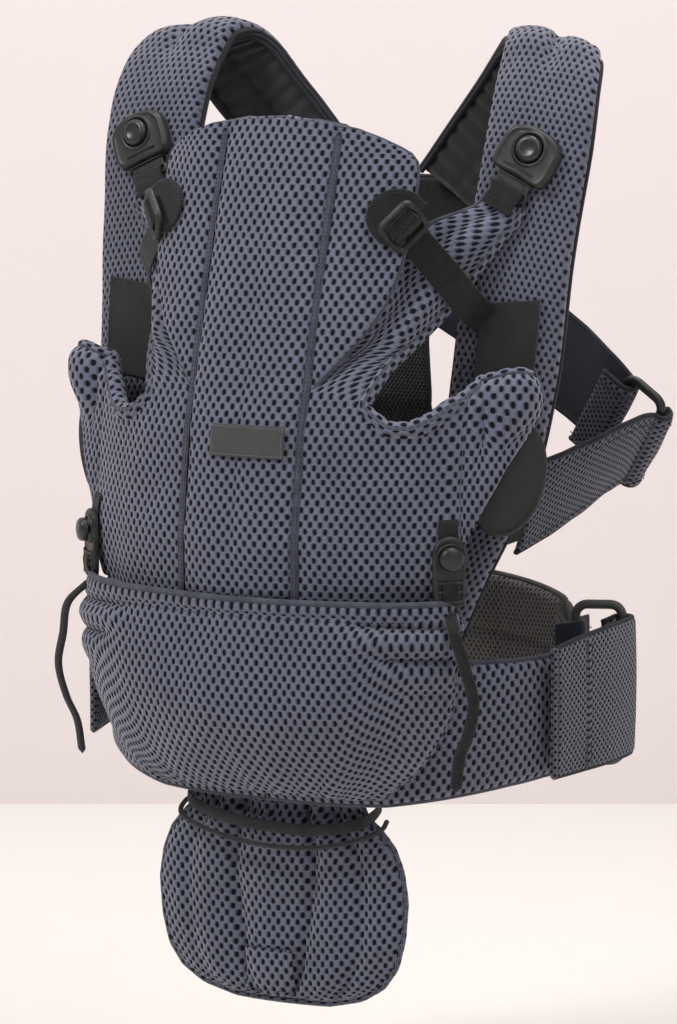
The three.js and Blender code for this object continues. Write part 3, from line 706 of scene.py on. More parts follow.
def woven(
    name, color, across=1.1, along=0.9, roughness=0.8, contrast=0.3, sheen=0.15, depth_mm=0.18, grain=0.35
):
    """A tight weave or knit with ribs that many millimetres apart."""
    n = Nodes(name, roughness=roughness, sheen=sheen, specular=0.25)
    x, y = n.cloth()
    warp = n.math("SINE", n.math("MULTIPLY", x, 2 * math.pi / across))
    weft = n.math(
        "SINE", n.math("MULTIPLY", n.math("ADD", y, n.math("MULTIPLY", x, 0.35)), 2 * math.pi / along)
    )
    weave = n.math("MULTIPLY", n.math("ADD", warp, weft), 0.5)
    mottle = n.noise(9.0, detail=4.0)
    tone = n.math("ADD", n.math("MULTIPLY", weave, 0.3), n.math("MULTIPLY", mottle, 1.0))
    low, high = 1 - contrast, 1 + contrast
    shade = n.mix(n.ramp(tone, 0.25, 0.8), tuple(c * low for c in color), tuple(c * high for c in color))
    height = n.math("ADD", weave, n.math("MULTIPLY", n.noise(1.2, detail=3.0), grain * 4))
    return n.finish(shade, height, depth_mm=depth_mm)


def moulded(name, color, roughness=0.42, speck=0.9):
    """Moulded plastic with a fine spark-eroded grain and slightly shinier worn places."""
    n = Nodes(name, roughness=roughness, specular=0.45)
    grain = n.noise(speck, detail=3.0, roughness=0.7)
    wear = n.noise(16.0, detail=5.0)
    n.set(n.shader, "Roughness", n.ramp(wear, 0.3, 0.7, roughness + 0.1, roughness - 0.08))
    shade = n.mix(wear, tuple(c * 0.85 for c in color), tuple(c * 1.2 for c in color))
    return n.finish(shade, grain, depth_mm=0.06)


NAVY_YARN = (0.162, 0.173, 0.248)
# the dark layer seen through the holes, with painted shade for their depth; the grey and black meshes below take
# theirs the same way
HOLE_DARK = (0.005, 0.0055, 0.011)
MAIN_PITCH = (6.6, 4.7)
MESH = spacer_mesh("spacer_mesh_main", MAIN_PITCH, (2.6, 4.3), NAVY_YARN, HOLE_DARK)
STRAP_MESH = spacer_mesh("spacer_mesh_strap", (5.0, 4.3), (1.9, 2.9), (0.140, 0.148, 0.208), HOLE_DARK)
FINE_MESH = spacer_mesh("spacer_mesh_fine", (4.6, 2.6), (1.9, 1.9), (0.115, 0.122, 0.165), HOLE_DARK)
GREY_MESH = spacer_mesh(
    "spacer_mesh_grey", (4.4, 3.0), (1.5, 2.0), (0.135, 0.130, 0.122), (0.018, 0.017, 0.017)
)
BLACK_MESH = spacer_mesh(
    "spacer_mesh_black", (3.4, 2.6), (1.3, 1.5), (0.016, 0.016, 0.018), (0.004, 0.004, 0.005)
)
SEAM_KNIT = woven("seam_knit", (0.070, 0.075, 0.105), across=1.4, along=1.0, contrast=0.35)
LINING = woven(
    "quilted_lining", (0.024, 0.023, 0.026), across=0.8, along=0.8, roughness=0.5, contrast=0.25, sheen=0.35
)
NAVY_LINING = woven("navy_lining", (0.018, 0.020, 0.036), across=0.7, along=0.7, roughness=0.5, contrast=0.2)
WEBBING = woven("webbing", (0.013, 0.013, 0.014), across=1.6, along=1.3, contrast=0.4, depth_mm=0.3)
ELASTIC = woven("elastic", (0.030, 0.030, 0.034), across=1.0, along=1.0, contrast=0.4, depth_mm=0.25)
PATCH = woven("patch_cloth", (0.022, 0.021, 0.022), across=0.9, along=0.9, roughness=0.7, contrast=0.25)
BINDING = woven("binding", (0.020, 0.021, 0.028), across=1.0, along=0.8, contrast=0.3)
BINDING_GREY = woven("binding_grey", (0.10, 0.098, 0.094), across=1.0, along=0.8, contrast=0.25)
LABEL = woven(
    "label_satin", (0.060, 0.062, 0.064), across=0.6, along=0.6, roughness=0.45, contrast=0.15, depth_mm=0.1
)
THREAD = woven("thread", (0.030, 0.032, 0.045), across=0.5, along=0.5, contrast=0.3)
THREAD_GREY = woven("thread_grey", (0.19, 0.19, 0.19), across=0.5, along=0.5, contrast=0.3)
PLASTIC = moulded("plastic_black", (0.020, 0.020, 0.021))
PLASTIC_GLOSS = moulded("plastic_button", (0.024, 0.024, 0.026), roughness=0.3)
PLASTIC_SOFT = moulded("plastic_grey", (0.062, 0.060, 0.058), roughness=0.5)


# ---- camera, floor and light ---------------------------------------------------------------------
AZIMUTH, ELEVATION = math.radians(28.0), math.radians(8.5)
DISTANCE, TARGET = 3.6, Vector((-0.005, 0.0, 0.129))
SENSOR, FOCAL = 24.0, 124.0
FLOOR_Z, WALL_Y = -0.30, 1.1


def camera():
    data = bpy.data.cameras.new("camera")
    data.sensor_fit = "VERTICAL"
    data.sensor_height = SENSOR
    data.lens = FOCAL
    data.clip_end = 20.0
    obj = bpy.data.objects.new("camera", data)
    bpy.context.scene.collection.objects.link(obj)
    bpy.context.scene.view_settings.view_transform = "Standard"
    away = Vector((
        math.sin(AZIMUTH) * math.cos(ELEVATION),
        -math.cos(AZIMUTH) * math.cos(ELEVATION),
        math.sin(ELEVATION),
    ))
    obj.location = TARGET + away * DISTANCE
    obj.rotation_euler = (-away).to_track_quat("-Z", "Y").to_euler()
    bpy.context.scene.camera = obj


def plain(name, color, roughness=0.9):
    n = Nodes(name, roughness=roughness, specular=0.1)
    fine = n.noise(60.0, detail=3.0)
    return n.finish(n.mix(fine, tuple(c * 0.985 for c in color), color))


BACKDROP = (0.90, 0.80, 0.78, 1.0)


def seen_from_front(material):
    """Makes a wall clear from behind, so that a view from the back of the room isn't blocked."""
    tree = material.node_tree
    facing = tree.nodes.new("ShaderNodeNewGeometry")
    turned = tree.nodes.new("ShaderNodeMath")
    turned.operation = "SUBTRACT"
    turned.inputs[0].default_value = 1.0
    tree.links.new(facing.outputs["Backfacing"], turned.inputs[1])
    tree.links.new(turned.outputs[0], tree.nodes["Principled BSDF"].inputs["Alpha"])
    return material


def fades_far(material, near, far):
    """Turns a floor to the backdrop's colour between two distances from the object."""
    tree = material.node_tree
    geometry = tree.nodes.new("ShaderNodeNewGeometry")
    distance = tree.nodes.new("ShaderNodeVectorMath")
    distance.operation = "LENGTH"
    tree.links.new(geometry.outputs["Position"], distance.inputs[0])
    share = tree.nodes.new("ShaderNodeMapRange")
    share.interpolation_type = "SMOOTHSTEP"
    share.inputs["From Min"].default_value = near
    share.inputs["From Max"].default_value = far
    tree.links.new(distance.outputs["Value"], share.inputs["Value"])
    glow = tree.nodes.new("ShaderNodeEmission")
    glow.inputs["Color"].default_value = BACKDROP
    mix = tree.nodes.new("ShaderNodeMixShader")
    tree.links.new(share.outputs["Result"], mix.inputs[0])
    tree.links.new(tree.nodes["Principled BSDF"].outputs[0], mix.inputs[1])
    tree.links.new(glow.outputs[0], mix.inputs[2])
    surface = next(node for node in tree.nodes if node.type == "OUTPUT_MATERIAL")
    tree.links.new(mix.outputs[0], surface.inputs["Surface"])
    return material


def stage_plane(name, corners, material):
    mesh = bpy.data.meshes.new(name)
    mesh.from_pydata(corners, [], [(0, 1, 2, 3)])
    mesh.materials.append(material)
    obj = bpy.data.objects.new(name, mesh)
    bpy.context.scene.collection.objects.link(obj)
    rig.stage(obj)


def area_light(name, at, aim, size, watts, color=(1, 1, 1)):
    data = bpy.data.lights.new(name, "AREA")
    data.shape = "DISK"
    data.size = size
    data.energy = watts
    data.color = color
    obj = bpy.data.objects.new(name, data)
    bpy.context.scene.collection.objects.link(obj)
    obj.location = at
    obj.rotation_euler = (Vector(aim) - Vector(at)).to_track_quat("-Z", "Y").to_euler()


def studio():
    far = 9.0
    cream = fades_far(plain("floor_cream", (0.86, 0.84, 0.79)), 1.6, 3.6)
    pink = seen_from_front(plain("wall_pink", (0.89, 0.80, 0.80)))
    stage_plane(
        "floor", [(-far, -far, FLOOR_Z), (far, -far, FLOOR_Z), (far, far, FLOOR_Z), (-far, far, FLOOR_Z)],
        cream
    )
    across = Vector((math.cos(AZIMUTH), math.sin(AZIMUTH), 0)) * far
    back = Vector((-math.sin(AZIMUTH), math.cos(AZIMUTH), 0)) * WALL_Y
    low, high = Vector((0, 0, FLOOR_Z)), Vector((0, 0, 6.0))
    stage_plane(
        "wall", [back - across + low, back + across + low, back + across + high, back - across + high], pink
    )
    world = bpy.data.worlds.new("studio")
    world.use_nodes = True
    tree = world.node_tree
    light = tree.nodes["Background"]
    light.inputs[0].default_value = (1.0, 0.985, 0.98, 1.0)
    light.inputs[1].default_value = 0.21
    backdrop = tree.nodes.new("ShaderNodeBackground")
    backdrop.inputs[0].default_value = BACKDROP
    seen = tree.nodes.new("ShaderNodeLightPath")
    choose = tree.nodes.new("ShaderNodeMixShader")
    tree.links.new(seen.outputs["Is Camera Ray"], choose.inputs[0])
    tree.links.new(light.outputs[0], choose.inputs[1])
    tree.links.new(backdrop.outputs[0], choose.inputs[2])
    tree.links.new(choose.outputs[0], tree.nodes["World Output"].inputs[0])
    bpy.context.scene.world = world
    middle = (0.0, 0.0, 0.12)
    area_light("key", (-1.3, -2.0, 2.6), middle, 1.0, 58)
    area_light("side", (2.1, -1.0, 1.3), middle, 1.0, 6)
    area_light("top", (0.2, 0.3, 2.3), middle, 1.0, 20)
    area_light("wall_wash", (0.9, -0.2, 1.8), (-0.6, 1.1, 0.4), 1.5, 12)


camera()
studio()


# ---- front panel: the shapes part.mjs gives it ----------------------------------------------------
PANEL_R = 190.0  # the radius the front is curved to
SEAM_AT, SEAM_HALF = 42.0, 2.3  # how far out the two long seams run, and half the strip over each
CLOTH_PER_HEIGHT = 1.03  # the front leans, so it takes a little more cloth than its height
FOLD_Z = 300.0
FRONT_Y = [(86, -152), (130, -153), (200, -144), (300, -118), (412, -85)]


def on_panel(s, z, out=0.0):
    """A point on the curved front, s along its arc from the middle, out towards the front."""
    f = np.asarray(s) / PANEL_R
    y = table(FRONT_Y, z) + PANEL_R - (PANEL_R + out) * np.cos(f)
    return np.stack(np.broadcast_arrays((PANEL_R + out) * np.sin(f), y, z), axis=-1)


def shares_of(values):
    """Each value's share of the way from the first to the last."""
    return (np.asarray(values) - values[0]) / (values[-1] - values[0])


# the middle strip, widening above the crease into the head support
FRONT_LOW, FRONT_HIGH = 91.0, 403.0
FRONT_HALF = [
    (91, 42), (222, 42), (232, 47), (243, 57), (264, 74), (286, 87), (305, 93), (325, 96), (350, 97),
    (368, 97), (378, 95), (386, 90), (393, 80), (398, 65), (401.5, 45), (403, 0),
]


def front_height(v):
    return lerp(FRONT_LOW, FRONT_HIGH, v)


def front_across(u, v):
    """How far along the arc from the middle a point of the front lies."""
    return (u * 2 - 1) * table(FRONT_HALF, front_height(v))


def crown(v, across):
    """How far the top edge drops towards its corners."""
    return 4.5 * smooth((v - 0.9) / 0.1) * (across / 60.0) ** 2


def front_panel():
    """The chest and the head support as one cloth with two long seams. It folds at the crease."""
    def surface(u, v):
        s = front_across(u, v)
        top = front_height(v) - crown(v, s)
        puff = 2.2 * np.sin(
            np.clip(np.abs(s) / SEAM_AT, 0, 1) * math.pi
        ) * smooth(v * 6) * smooth((1 - v) * 8)
        outer = np.clip((np.abs(s) - SEAM_AT) / 46.0, 0, 1)
        puff += 2.6 * np.sin(outer * math.pi) * smooth((v - 0.5) / 0.1)
        middle_puff = 1.6 * np.cos(np.clip(np.abs(s) / SEAM_AT, 0, 1) * math.pi / 2)
        wave = 1.1 * ripple(s, top, 75.0, 3) + 0.5 * ripple(s, top, 28.0, 4)
        return on_panel(s, top, puff + middle_puff + wave)

    rows = np.unique(np.r_[
        np.linspace(0, 0.955, 74), 1 - np.array([0.04, 0.03, 0.022, 0.015, 0.01, 0.006, 0.003, 0.001, 0.0]),
    ])

    def cloth(u, v):
        return front_across(u, v), front_height(v) * CLOTH_PER_HEIGHT

    s = sheet(surface, spread(53, 0.02), rows, uv=cloth)
    reach, height = np.abs(front_across(s["u"], s["v"])), front_height(s["v"])
    pucker = 0.55 * np.sin(height / 2.6 + 2.0 * ripple(reach, height, 50.0, 6)) * bump(reach, SEAM_AT, 8.0)
    groove = -2.2 * bump(reach, SEAM_AT, 3.4) + pucker
    body = shell(s, 6.4, rim=3.0, out=groove, back_slot=1)
    parts = [body]
    up = np.linspace(0.0, 0.985, 120)
    for side in (-1.0, 1.0):
        z = lerp(FRONT_LOW, FRONT_HIGH - 3, up)

        def strip(u, v, side=side):
            across = side * SEAM_AT + (u * 2 - 1) * SEAM_HALF
            top = lerp(FRONT_LOW, FRONT_HIGH - 3, v) - crown(v, across)
            return on_panel(across, top, 3.2 + 0.5 * np.sin(u * math.pi))

        parts.append(shell(sheet(strip, spread(3, 0.2), up), 1.0, rim=0.6, front_slot=2, back_slot=2))
        for offset in (-1.2, 1.2):
            across = np.full_like(z, side * SEAM_AT + offset)
            line = on_panel(across, z - crown(up, across), 4.0)
            parts.append(stitches(line, v3(0, -1, 0.2), pitch=2.9, length=2.1, width=0.7, slot=3))
    rim = np.vstack([edge(s, "left")[::2], edge(s, "high")[1:-1], edge(s, "right")[::-2]])
    keep = np.r_[True, np.linalg.norm(np.diff(rim, axis=0), axis=-1) > 0.6]
    parts.append(tube(rim[keep], 1.7, slot=2, sides=8))
    obj = piece("front_panel", parts, [MESH, LINING, SEAM_KNIT, THREAD])
    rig.slot(obj, "mesh_main")
    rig.replaces(obj, "chest_panel", "head_support")
    fold = v3(0, table(FRONT_Y, FOLD_Z), FOLD_Z) * MM
    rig.blend(obj, "harness", "head", start=fold + v3(0, 0, -0.012), end=fold + v3(0, 0, 0.012))


# the side of the chest: its lower part runs on into the lobe, and its upper part into the wing
SIDE_LOW = [
    (41, 91), (138, 91), (142, 104), (147, 118), (156, 139), (163, 158), (172, 178), (182, 194), (190, 204),
    (195, 214),
]
SIDE_HIGH = [
    (41, 227), (62, 226), (80, 220), (88, 213), (97, 206), (112, 205), (127, 211), (147, 226), (160, 236),
    (170, 241), (178, 242), (185, 240), (190, 235), (193, 230), (195, 224),
]
SIDE_FROM, WING_TO = 41.0, 80.0  # where the side starts, and where the part that carries the wing ends
FLAP_FROM, FLAP_TO = 148.0, 195.0
FLAP_ROUTE = spline([(133.6, -88.0, 0), (145, -82, 0), (157, -74, 0), (166, -64, 0), (171, -53, 0)])
BUCKLE_AT = v3(147, -15.6, 378.5)


def frame_of(x_axis, y_axis, z_axis, origin):
    """A function from local millimetres to the CAD frame."""
    axes = np.array([x_axis, y_axis, z_axis], float)

    def at(x, y, z):
        local = np.stack(np.broadcast_arrays(x, y, z), axis=-1).astype(float)
        return origin + local @ axes

    at.axes, at.origin = axes, origin
    return at


def square_to(direction, axis):
    """The direction turned square to a unit axis."""
    return unit(direction - axis * axis.dot(direction))


def moved(at, x, y, z):
    """The same frame with its origin moved along its own axes."""
    return frame_of(*at.axes, at(x, y, z))


def frame_at(origin, x_direction, z_direction):
    """A frame from its x and its outward z; y follows."""
    z = unit(v3(*z_direction))
    x = square_to(v3(*x_direction), z)
    return frame_of(x, np.cross(z, x), z, v3(*origin))


in_buckle = frame_at(BUCKLE_AT, (0.9, 0.02, -0.44), (0.1, -0.955, 0.28))
WING_IN = spline([
    on_panel(41, 227), on_panel(50, 243, -5), on_panel(66, 263, -8), on_panel(77, 284, -10),
    on_panel(83, 306, -13),
    v3(94, -61, 334), v3(109, -42, 342), in_buckle(-14.5, -45, 2.0), in_buckle(-14, -34, 1.0),
])
WING_OUT = spline([
    on_panel(80, 220), v3(87, -107, 243), v3(96, -90, 257), v3(105, -69, 273), v3(114, -54, 290),
    v3(125, -41, 310), v3(136, -33, 327), in_buckle(15.5, -45, 1.5), in_buckle(14, -34, 1.0),
])


def side_surface(length, z):
    """The chest's own curve, then the lobe that folds round to the side."""
    panel = on_panel(length, z)
    t = np.clip((length - FLAP_FROM) / (FLAP_TO - FLAP_FROM), 0, 1)
    lobe = FLAP_ROUTE(t)
    lobe_y = lobe[..., 1] + (table(FRONT_Y, z) + 145) * (1 - t)
    lobe = np.stack([lobe[..., 0], lobe_y, np.broadcast_to(z, t.shape)], -1)
    turn = smooth((length - FLAP_FROM + 12) / 16)[..., None]
    return panel * (1 - turn) + lobe * turn


WING_COLUMNS = 13
LOBE_STRETCH = 0.45   # the plump lobe takes more cloth than its middle line
# the radius of the rolled edge along its run, from the buckle round the armhole to the foot of the side
ROLL_RADIUS = [(0, 2.6), (0.1, 3.6), (0.4, 4.2), (0.52, 4.4), (0.6, 6.0), (0.72, 6.4), (0.82, 4.6), (1, 2.4)]


def side_panel(side, sign):
    """From the long seam out to the lobe and up to the buckle's tongue, one cloth."""
    inner = np.linspace(SIDE_FROM, WING_TO, WING_COLUMNS)
    outer = WING_TO + spread(46, 0.02, first=False)[1:] * (FLAP_TO - WING_TO)
    across = np.r_[inner, outer]
    columns = shares_of(across)

    def length_and_height(u, v):
        length = lerp(SIDE_FROM, FLAP_TO, u)
        return length, lerp(table(SIDE_LOW, length), table(SIDE_HIGH, length), v)

    def low_cloth(u, v):
        length, z = length_and_height(u, v)
        return length + LOBE_STRETCH * np.maximum(length - FLAP_FROM + 8, 0), CLOTH_PER_HEIGHT * z

    def low_part(u, v):
        length, z = length_and_height(u, v)
        points = side_surface(length, z)
        n = np.stack([np.sin(length / PANEL_R), -np.cos(length / PANEL_R), np.zeros_like(length)], -1)
        lobe = smooth((length - 145) / 12)
        puff = 3.0 * np.sin(math.pi * np.clip((length - 46) / 100, 0, 1)) * smooth(v * 5)
        crease = -7.0 * bump(length, 158 + 9 * (1 - v), 4.2) * smooth((v - 0.35) / 0.4)
        swell = (5.0 * bump(length, 177, 12) + 3.5 * bump(length, 145, 8)) * smooth((v - 0.2) / 0.5)
        drag = 1.5 * np.sin(
            (length - 60) / 13.0 + v * 5
        ) * smooth((length - 70) / 40) * smooth((0.6 - v) / 0.4)
        lift = puff * (1 - lobe) + crease + swell * lobe + drag + 0.6 * ripple(length, z, 42.0, 11)
        return points + n * lift[..., None]

    lower = sheet(low_part, columns, spread(34, 0.03), uv=low_cloth)
    low_grid = grid_of(lower)
    top_row = low_grid[-1, :WING_COLUMNS]
    base_in, base_out = WING_IN(np.array(0.0)), WING_OUT(np.array(0.0))
    share = np.linspace(0, 1, WING_COLUMNS)
    fix = top_row - (base_in * (1 - share[:, None]) + base_out * share[:, None])

    def wing_part(u, v):
        low, high = WING_IN(v), WING_OUT(v)
        points = low * (1 - u[..., None]) + high * u[..., None]
        back = np.stack([np.interp(u, share, fix[:, i]) for i in range(3)], -1)
        points = points + back * (1 - smooth(v / 0.22))[..., None]
        out = unit(v3(0.55, -0.82, 0.1))
        inside = np.sin(math.pi * np.clip(v * 1.05, 0, 1)) * np.sin(math.pi * u)
        fold = (6.0 * bump(u, 0.72, 0.2) - 5.0 * bump(u, 0.36, 0.12) + 2.5) * inside
        drag = 2.0 * np.sin(u * 9.0 + v * 6.0) * smooth((v - 0.15) / 0.2) * smooth((0.85 - v) / 0.2)
        return points + out * (fold + drag)[..., None]

    wing = sheet(wing_part, share, np.r_[np.linspace(0, 0.97, 62), 0.982, 0.992, 1.0])
    start = lower["UV"].reshape(*lower["shape"], 2)[-1, :WING_COLUMNS]
    wing_uv = wing["UV"].reshape(-1, WING_COLUMNS, 2)
    wing_uv[..., 1] += start[None, :, 1]
    fade = 1 - smooth(wing["v"].reshape(-1, WING_COLUMNS) / 0.3)
    wing_uv[..., 0] += (start[None, :, 0] - wing_uv[:1, :, 0]) * fade
    wing["UV"] = wing_uv.reshape(-1, 2)
    cloth = welded(lower, wing)
    x, z = cloth["P"][:, 0], cloth["P"][:, 2]
    plump = smooth((x - 112) / 36) * smooth((250 - z) / 12)
    ear = plump * bump(z, 232, 22)
    body = shell(cloth, 5.4 + 7.0 * plump + 6.0 * ear, rim=2.6 + 5.5 * plump + 3.0 * ear, back_slot=1)
    columns_left = low_grid[-1, WING_COLUMNS - 1 :]
    roll = np.vstack([edge(wing, "right")[::-1], columns_left[1:], low_grid[::-1, -1][1:]])
    steps = np.linalg.norm(np.diff(roll, axis=0), axis=-1)
    roll = evenly(roll[np.r_[True, steps > 0.3]], 3.2)[0]
    run = np.linspace(0, 1, len(roll))
    cord = tube(roll, table(ROLL_RADIUS, run), slot=0, sides=12)
    upper_rim = tube(evenly(edge(wing, "left")[24:], 3.0)[0], 1.6, slot=2, sides=8)
    inward = roll + unit(v3(-0.45, -0.8, -0.2)) * 2.4
    seam = stitches(
        inward[: int(len(roll) * 0.45)], v3(0.5, -0.85, 0.1), pitch=4.0, length=2.6, width=0.8, slot=3
    )
    parts = [body, cord, upper_rim, seam]
    obj = piece("side_panel_" + side, parts, [MESH, LINING, SEAM_KNIT, THREAD], sign)
    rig.slot(obj, "mesh_main")
    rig.replaces(obj, "side_flap_" + side, "wing_" + side, "wing_tip_" + side)
    start_at, end_at = in_buckle(0, -62, 2), in_buckle(0, -36, 2)
    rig.blend(
        obj, "harness", "tongue_" + side, start=start_at * v3(sign, 1, 1) * MM,
        end=end_at * v3(sign, 1, 1) * MM
    )


LABEL_LIFT, LABEL_HEM = 8.0, 1.6  # in front of the panel's middle layer; from its edge to its stitches


def label():
    """Plain woven label with a stitched border and no lettering."""
    low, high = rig.box("label")
    z0, z1 = low.z / MM, high.z / MM
    x0, x1 = low.x / MM, high.x / MM
    s0, s1 = (PANEL_R * math.asin(x / (PANEL_R + 5)) for x in (x0, x1))

    def surface(u, v):
        return on_panel(lerp(s0, s1, u), lerp(z0, z1, v), LABEL_LIFT)

    parts = [shell(sheet(surface, spread(17, 0.03), spread(7, 0.06)), 1.3, rim=0.9)]
    s, z = np.linspace(s0 + LABEL_HEM, s1 - LABEL_HEM, 40), np.linspace(z0 + LABEL_HEM, z1 - LABEL_HEM, 14)
    level = [(s, np.full_like(s, end)) for end in z[[0, -1]]]
    upright = [(np.full_like(z, end), z) for end in s[[0, -1]]]
    for across, height in level + upright:
        line = on_panel(across, height, LABEL_LIFT + 0.7)
        parts.append(stitches(line, v3(0, -1, 0), pitch=2.0, length=1.5, width=0.5, slot=1))
    place(piece("label_woven", parts, [LABEL, THREAD_GREY]), "harness", "label", "label")


front_panel()
for side, sign in SIDES:
    side_panel(side, sign)
label()


# ---- shoulder straps -----------------------------------------------------------------------------
STRAP_WIDE, STRAP_LONG = 72.0, 640.0
QUILT_RIDGE = 8.5  # the width of one quilted ridge of the lining
# how far behind the strap's middle layer, and in from its edge, each rib of the rolled edge runs
EDGE_RIBS = ((2.6, 0.0), (5.2, 1.2), (7.0, 3.6))
STRAP = [
    ((98, -66, 52), (1, 0.28, 0), 18), ((110, -58, 100), (1, 0.26, 0), 24),
    ((130, -48, 165), (1, 0.24, 0.05), 33),
    ((138, -36, 232), (1, 0.22, 0.08), 36), ((141, -22, 310), (1, 0.16, 0.1), 37),
    ((146, -6, 380), (1, 0.1, 0.06), 37),
    ((144, 14, 424), (1, 0.05, -0.04), 36), ((138, 36, 446), (1, 0, -0.16), 35),
    ((125, 56, 440), (0.95, 0, -0.3), 34),
    ((102, 66, 410), (0.86, 0, -0.5), 33), ((74, 71, 376), (0.8, 0, -0.6), 32),
    ((46, 74, 342), (0.82, 0, -0.57), 31),
]


def strap_along(stations):
    """A strap's middle, width direction, half width and normal at t."""
    middle = spline([s[0] for s in stations])
    wide = unit(np.array([s[1] for s in stations], float))
    half = np.array([s[2] for s in stations], float)
    spans = len(stations) - 1

    def at(t):
        t = np.asarray(t, float)
        k = np.clip(t * spans, 0, spans - 1e-9)
        i = np.floor(k).astype(int)
        f = k - i
        w = unit(wide[i] * (1 - smooth(f))[..., None] + wide[i + 1] * smooth(f)[..., None])
        tangent = unit(middle(np.clip(t + 1e-4, 0, 1)) - middle(np.clip(t - 1e-4, 0, 1)))
        return middle(t), w, lerp(half[i], half[i + 1], f), unit(np.cross(w, tangent))

    return at


STRAP_AT = strap_along(STRAP)


def on_strap(u, t, out):
    """u millimetres across from the middle, t along, out from the strap's middle layer."""
    p, w, _, n = STRAP_AT(t)
    return p + w * np.asarray(u)[..., None] + n * np.asarray(out)[..., None]


def return_tab():
    """Webbing from the end of the side strap's return to the back of the shoulder strap, where it is sewn."""
    route = spline([(147, 0, 146), (140, -12, 142), (131, -30, 137), (122, -42, 132), (112, -46, 128)])

    def surface(u, v):
        up = unit(v3(0.25, 0.05, 0.96))
        return route(v) + up * ((u * 2 - 1) * lerp(24.0, 19.0, v))[..., None]

    return shell(sheet(surface, spread(9, 0.08), spread(24, 0.03)), 1.8, rim=0.9, front_slot=5, back_slot=5)


def shoulder_strap(side, sign):
    """The padded strap with its mesh outside, quilted inside, rolled edges and rows of stitches."""
    def surface(u, v):
        p, w, half, n = STRAP_AT(v)
        across = (u * 2 - 1) * half
        return p + w * across[..., None] + n * (0.6 * ripple(across, v * 600, 70, 21))[..., None]

    s = sheet(surface, spread(17, 0.07), spread(150, 0.006), middle=True)
    u, v = s["u"], s["v"]
    lane = np.abs(u * 2 - 1)
    over = smooth((v - 0.5) / 0.1) * smooth((1.0 - v) / 0.3)
    outside = 2.6 * np.cos(lane * math.pi / 2) - 1.0 * bump(lane, 0.8, 0.06)
    outside += 0.9 * over * np.sin(v * 95) * (lane < 0.85)
    outside += 0.9 * ripple(u * STRAP_WIDE, v * STRAP_LONG, 48, 23)
    # the strap doubles over a deep fold where it bends over the shoulder
    outside -= 8.0 * bump(u, 0.52, 0.06) * bump(v, 0.625, 0.05)
    outside += 2.5 * (bump(u, 0.3, 0.14) + bump(u, 0.75, 0.14)) * bump(v, 0.625, 0.06)
    wander = 0.8 * ripple(u * STRAP_WIDE, v * STRAP_LONG, 60, 5)
    quilt = 1.1 * np.sin(v * STRAP_LONG / QUILT_RIDGE * math.pi + wander)
    channel = -1.5 * bump(u, 0.5, 0.035) * smooth((v - 0.5) / 0.1)
    under = quilt * smooth((1 - lane) / 0.2) - 1.0 * bump(lane, 0.8, 0.05) + channel
    body = shell(s, 13.5, rim=7.5, out=outside, inside=under, back_slot=1)
    piping = []
    n_grid = normal_grid(s)
    for name, column in (("left", 0), ("right", -1)):
        inward = unit(grid_of(s)[:, 8] - edge(s, name))
        for depth, inset in EDGE_RIBS:
            line = evenly(edge(s, name) - n_grid[:, column] * depth + inward * inset, 3.5)[0]
            piping.append(tube(line, 1.7, slot=2, sides=8))
    p, w, half, n = STRAP_AT(np.linspace(0.01, 0.99, 260))
    for k in (-0.8, 0.8):
        row = p + w * (half * k)[:, None] + n * (6.9 - 1.0)
        piping.append(stitches(row, n, pitch=3.6, length=2.4, width=0.75, slot=3))
        row = p + w * (half * k)[:, None] - n * 5.9
        piping.append(stitches(row, -n, pitch=3.6, length=2.4, width=0.75, slot=4))
    piping.append(return_tab())
    materials = [STRAP_MESH, LINING, BINDING, THREAD, BINDING, WEBBING]
    obj = piece("shoulder_strap_padded_" + side, [body, *piping], materials, sign)
    place(obj, "harness", "mesh_main", "shoulder_strap_" + side, "strap_lining_" + side)
    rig.padded(obj, 0.6)


PATCH_LIFT = 10.9  # in front of the strap's middle layer


def strap_patch(side, sign):
    """The black cloth patch with its stitched box, where the webbing is sewn on."""
    def surface(u, v):
        return on_strap(lerp(-19, 22, u), lerp(0.255, 0.331, v), PATCH_LIFT)

    parts = [shell(sheet(surface, spread(13, 0.03), spread(19, 0.02)), 1.5, rim=1.0)]
    across, along = np.linspace(-17, 20, 30), np.linspace(0.2585, 0.3275, 40)
    upright = [on_strap(u, along, PATCH_LIFT + 0.8) for u in across[[0, -1]]]
    level = [on_strap(across, t, PATCH_LIFT + 0.8) for t in along[[0, -1]]]
    for line in upright + level:
        parts.append(stitches(line, v3(0, -1, 0), slot=1))
    obj = piece("strap_patch_sewn_" + side, parts, [PATCH, THREAD], sign)
    place(obj, "harness", "knit_black", "strap_patch_" + side)


for side, sign in SIDES:
    shoulder_strap(side, sign)
    strap_patch(side, sign)


# ---- seat pouch ----------------------------------------------------------------------------------
# share of the way down: height, half width, middle's Y, how far the sides curve back
POUCH = [
    (0, 92, 137, -159, 50), (0.12, 75, 141, -162.5, 55), (0.28, 52, 141, -166, 60), (0.45, 26, 136, -167, 62),
    (0.62, 2, 126, -162, 58), (0.78, -18, 112, -151, 44), (0.9, -31, 98, -139, 27), (1, -40, 86, -127, 13),
]
POUCH_ROUND = 0.96  # how close to a half circle its section is
# its side pleats: depth, height, how much that falls towards the side, how tall, where across they start
# and how soon they are full
PLEATS = [
    (-10.0, 79, 6, 3.0, 0.52, 0.25), (7.0, 70, 5, 5.5, 0.5, 0.3), (-10.0, 60, 10, 3.0, 0.66, 0.2),
    (6.0, 50, 8, 7.0, 0.62, 0.25), (-2.2, 40, 16, 3.6, 0.74, 0.2),
]
# the cloth inside the pouch: its half width, the heights of its top and foot, and where the foot lies
LINING_HALF, LINING_HIGH, LINING_LOW = 136.0, 95.0, 56.0
LINING_FOOT_Y, LINING_FOOT_BACK = -158.0, 57.0


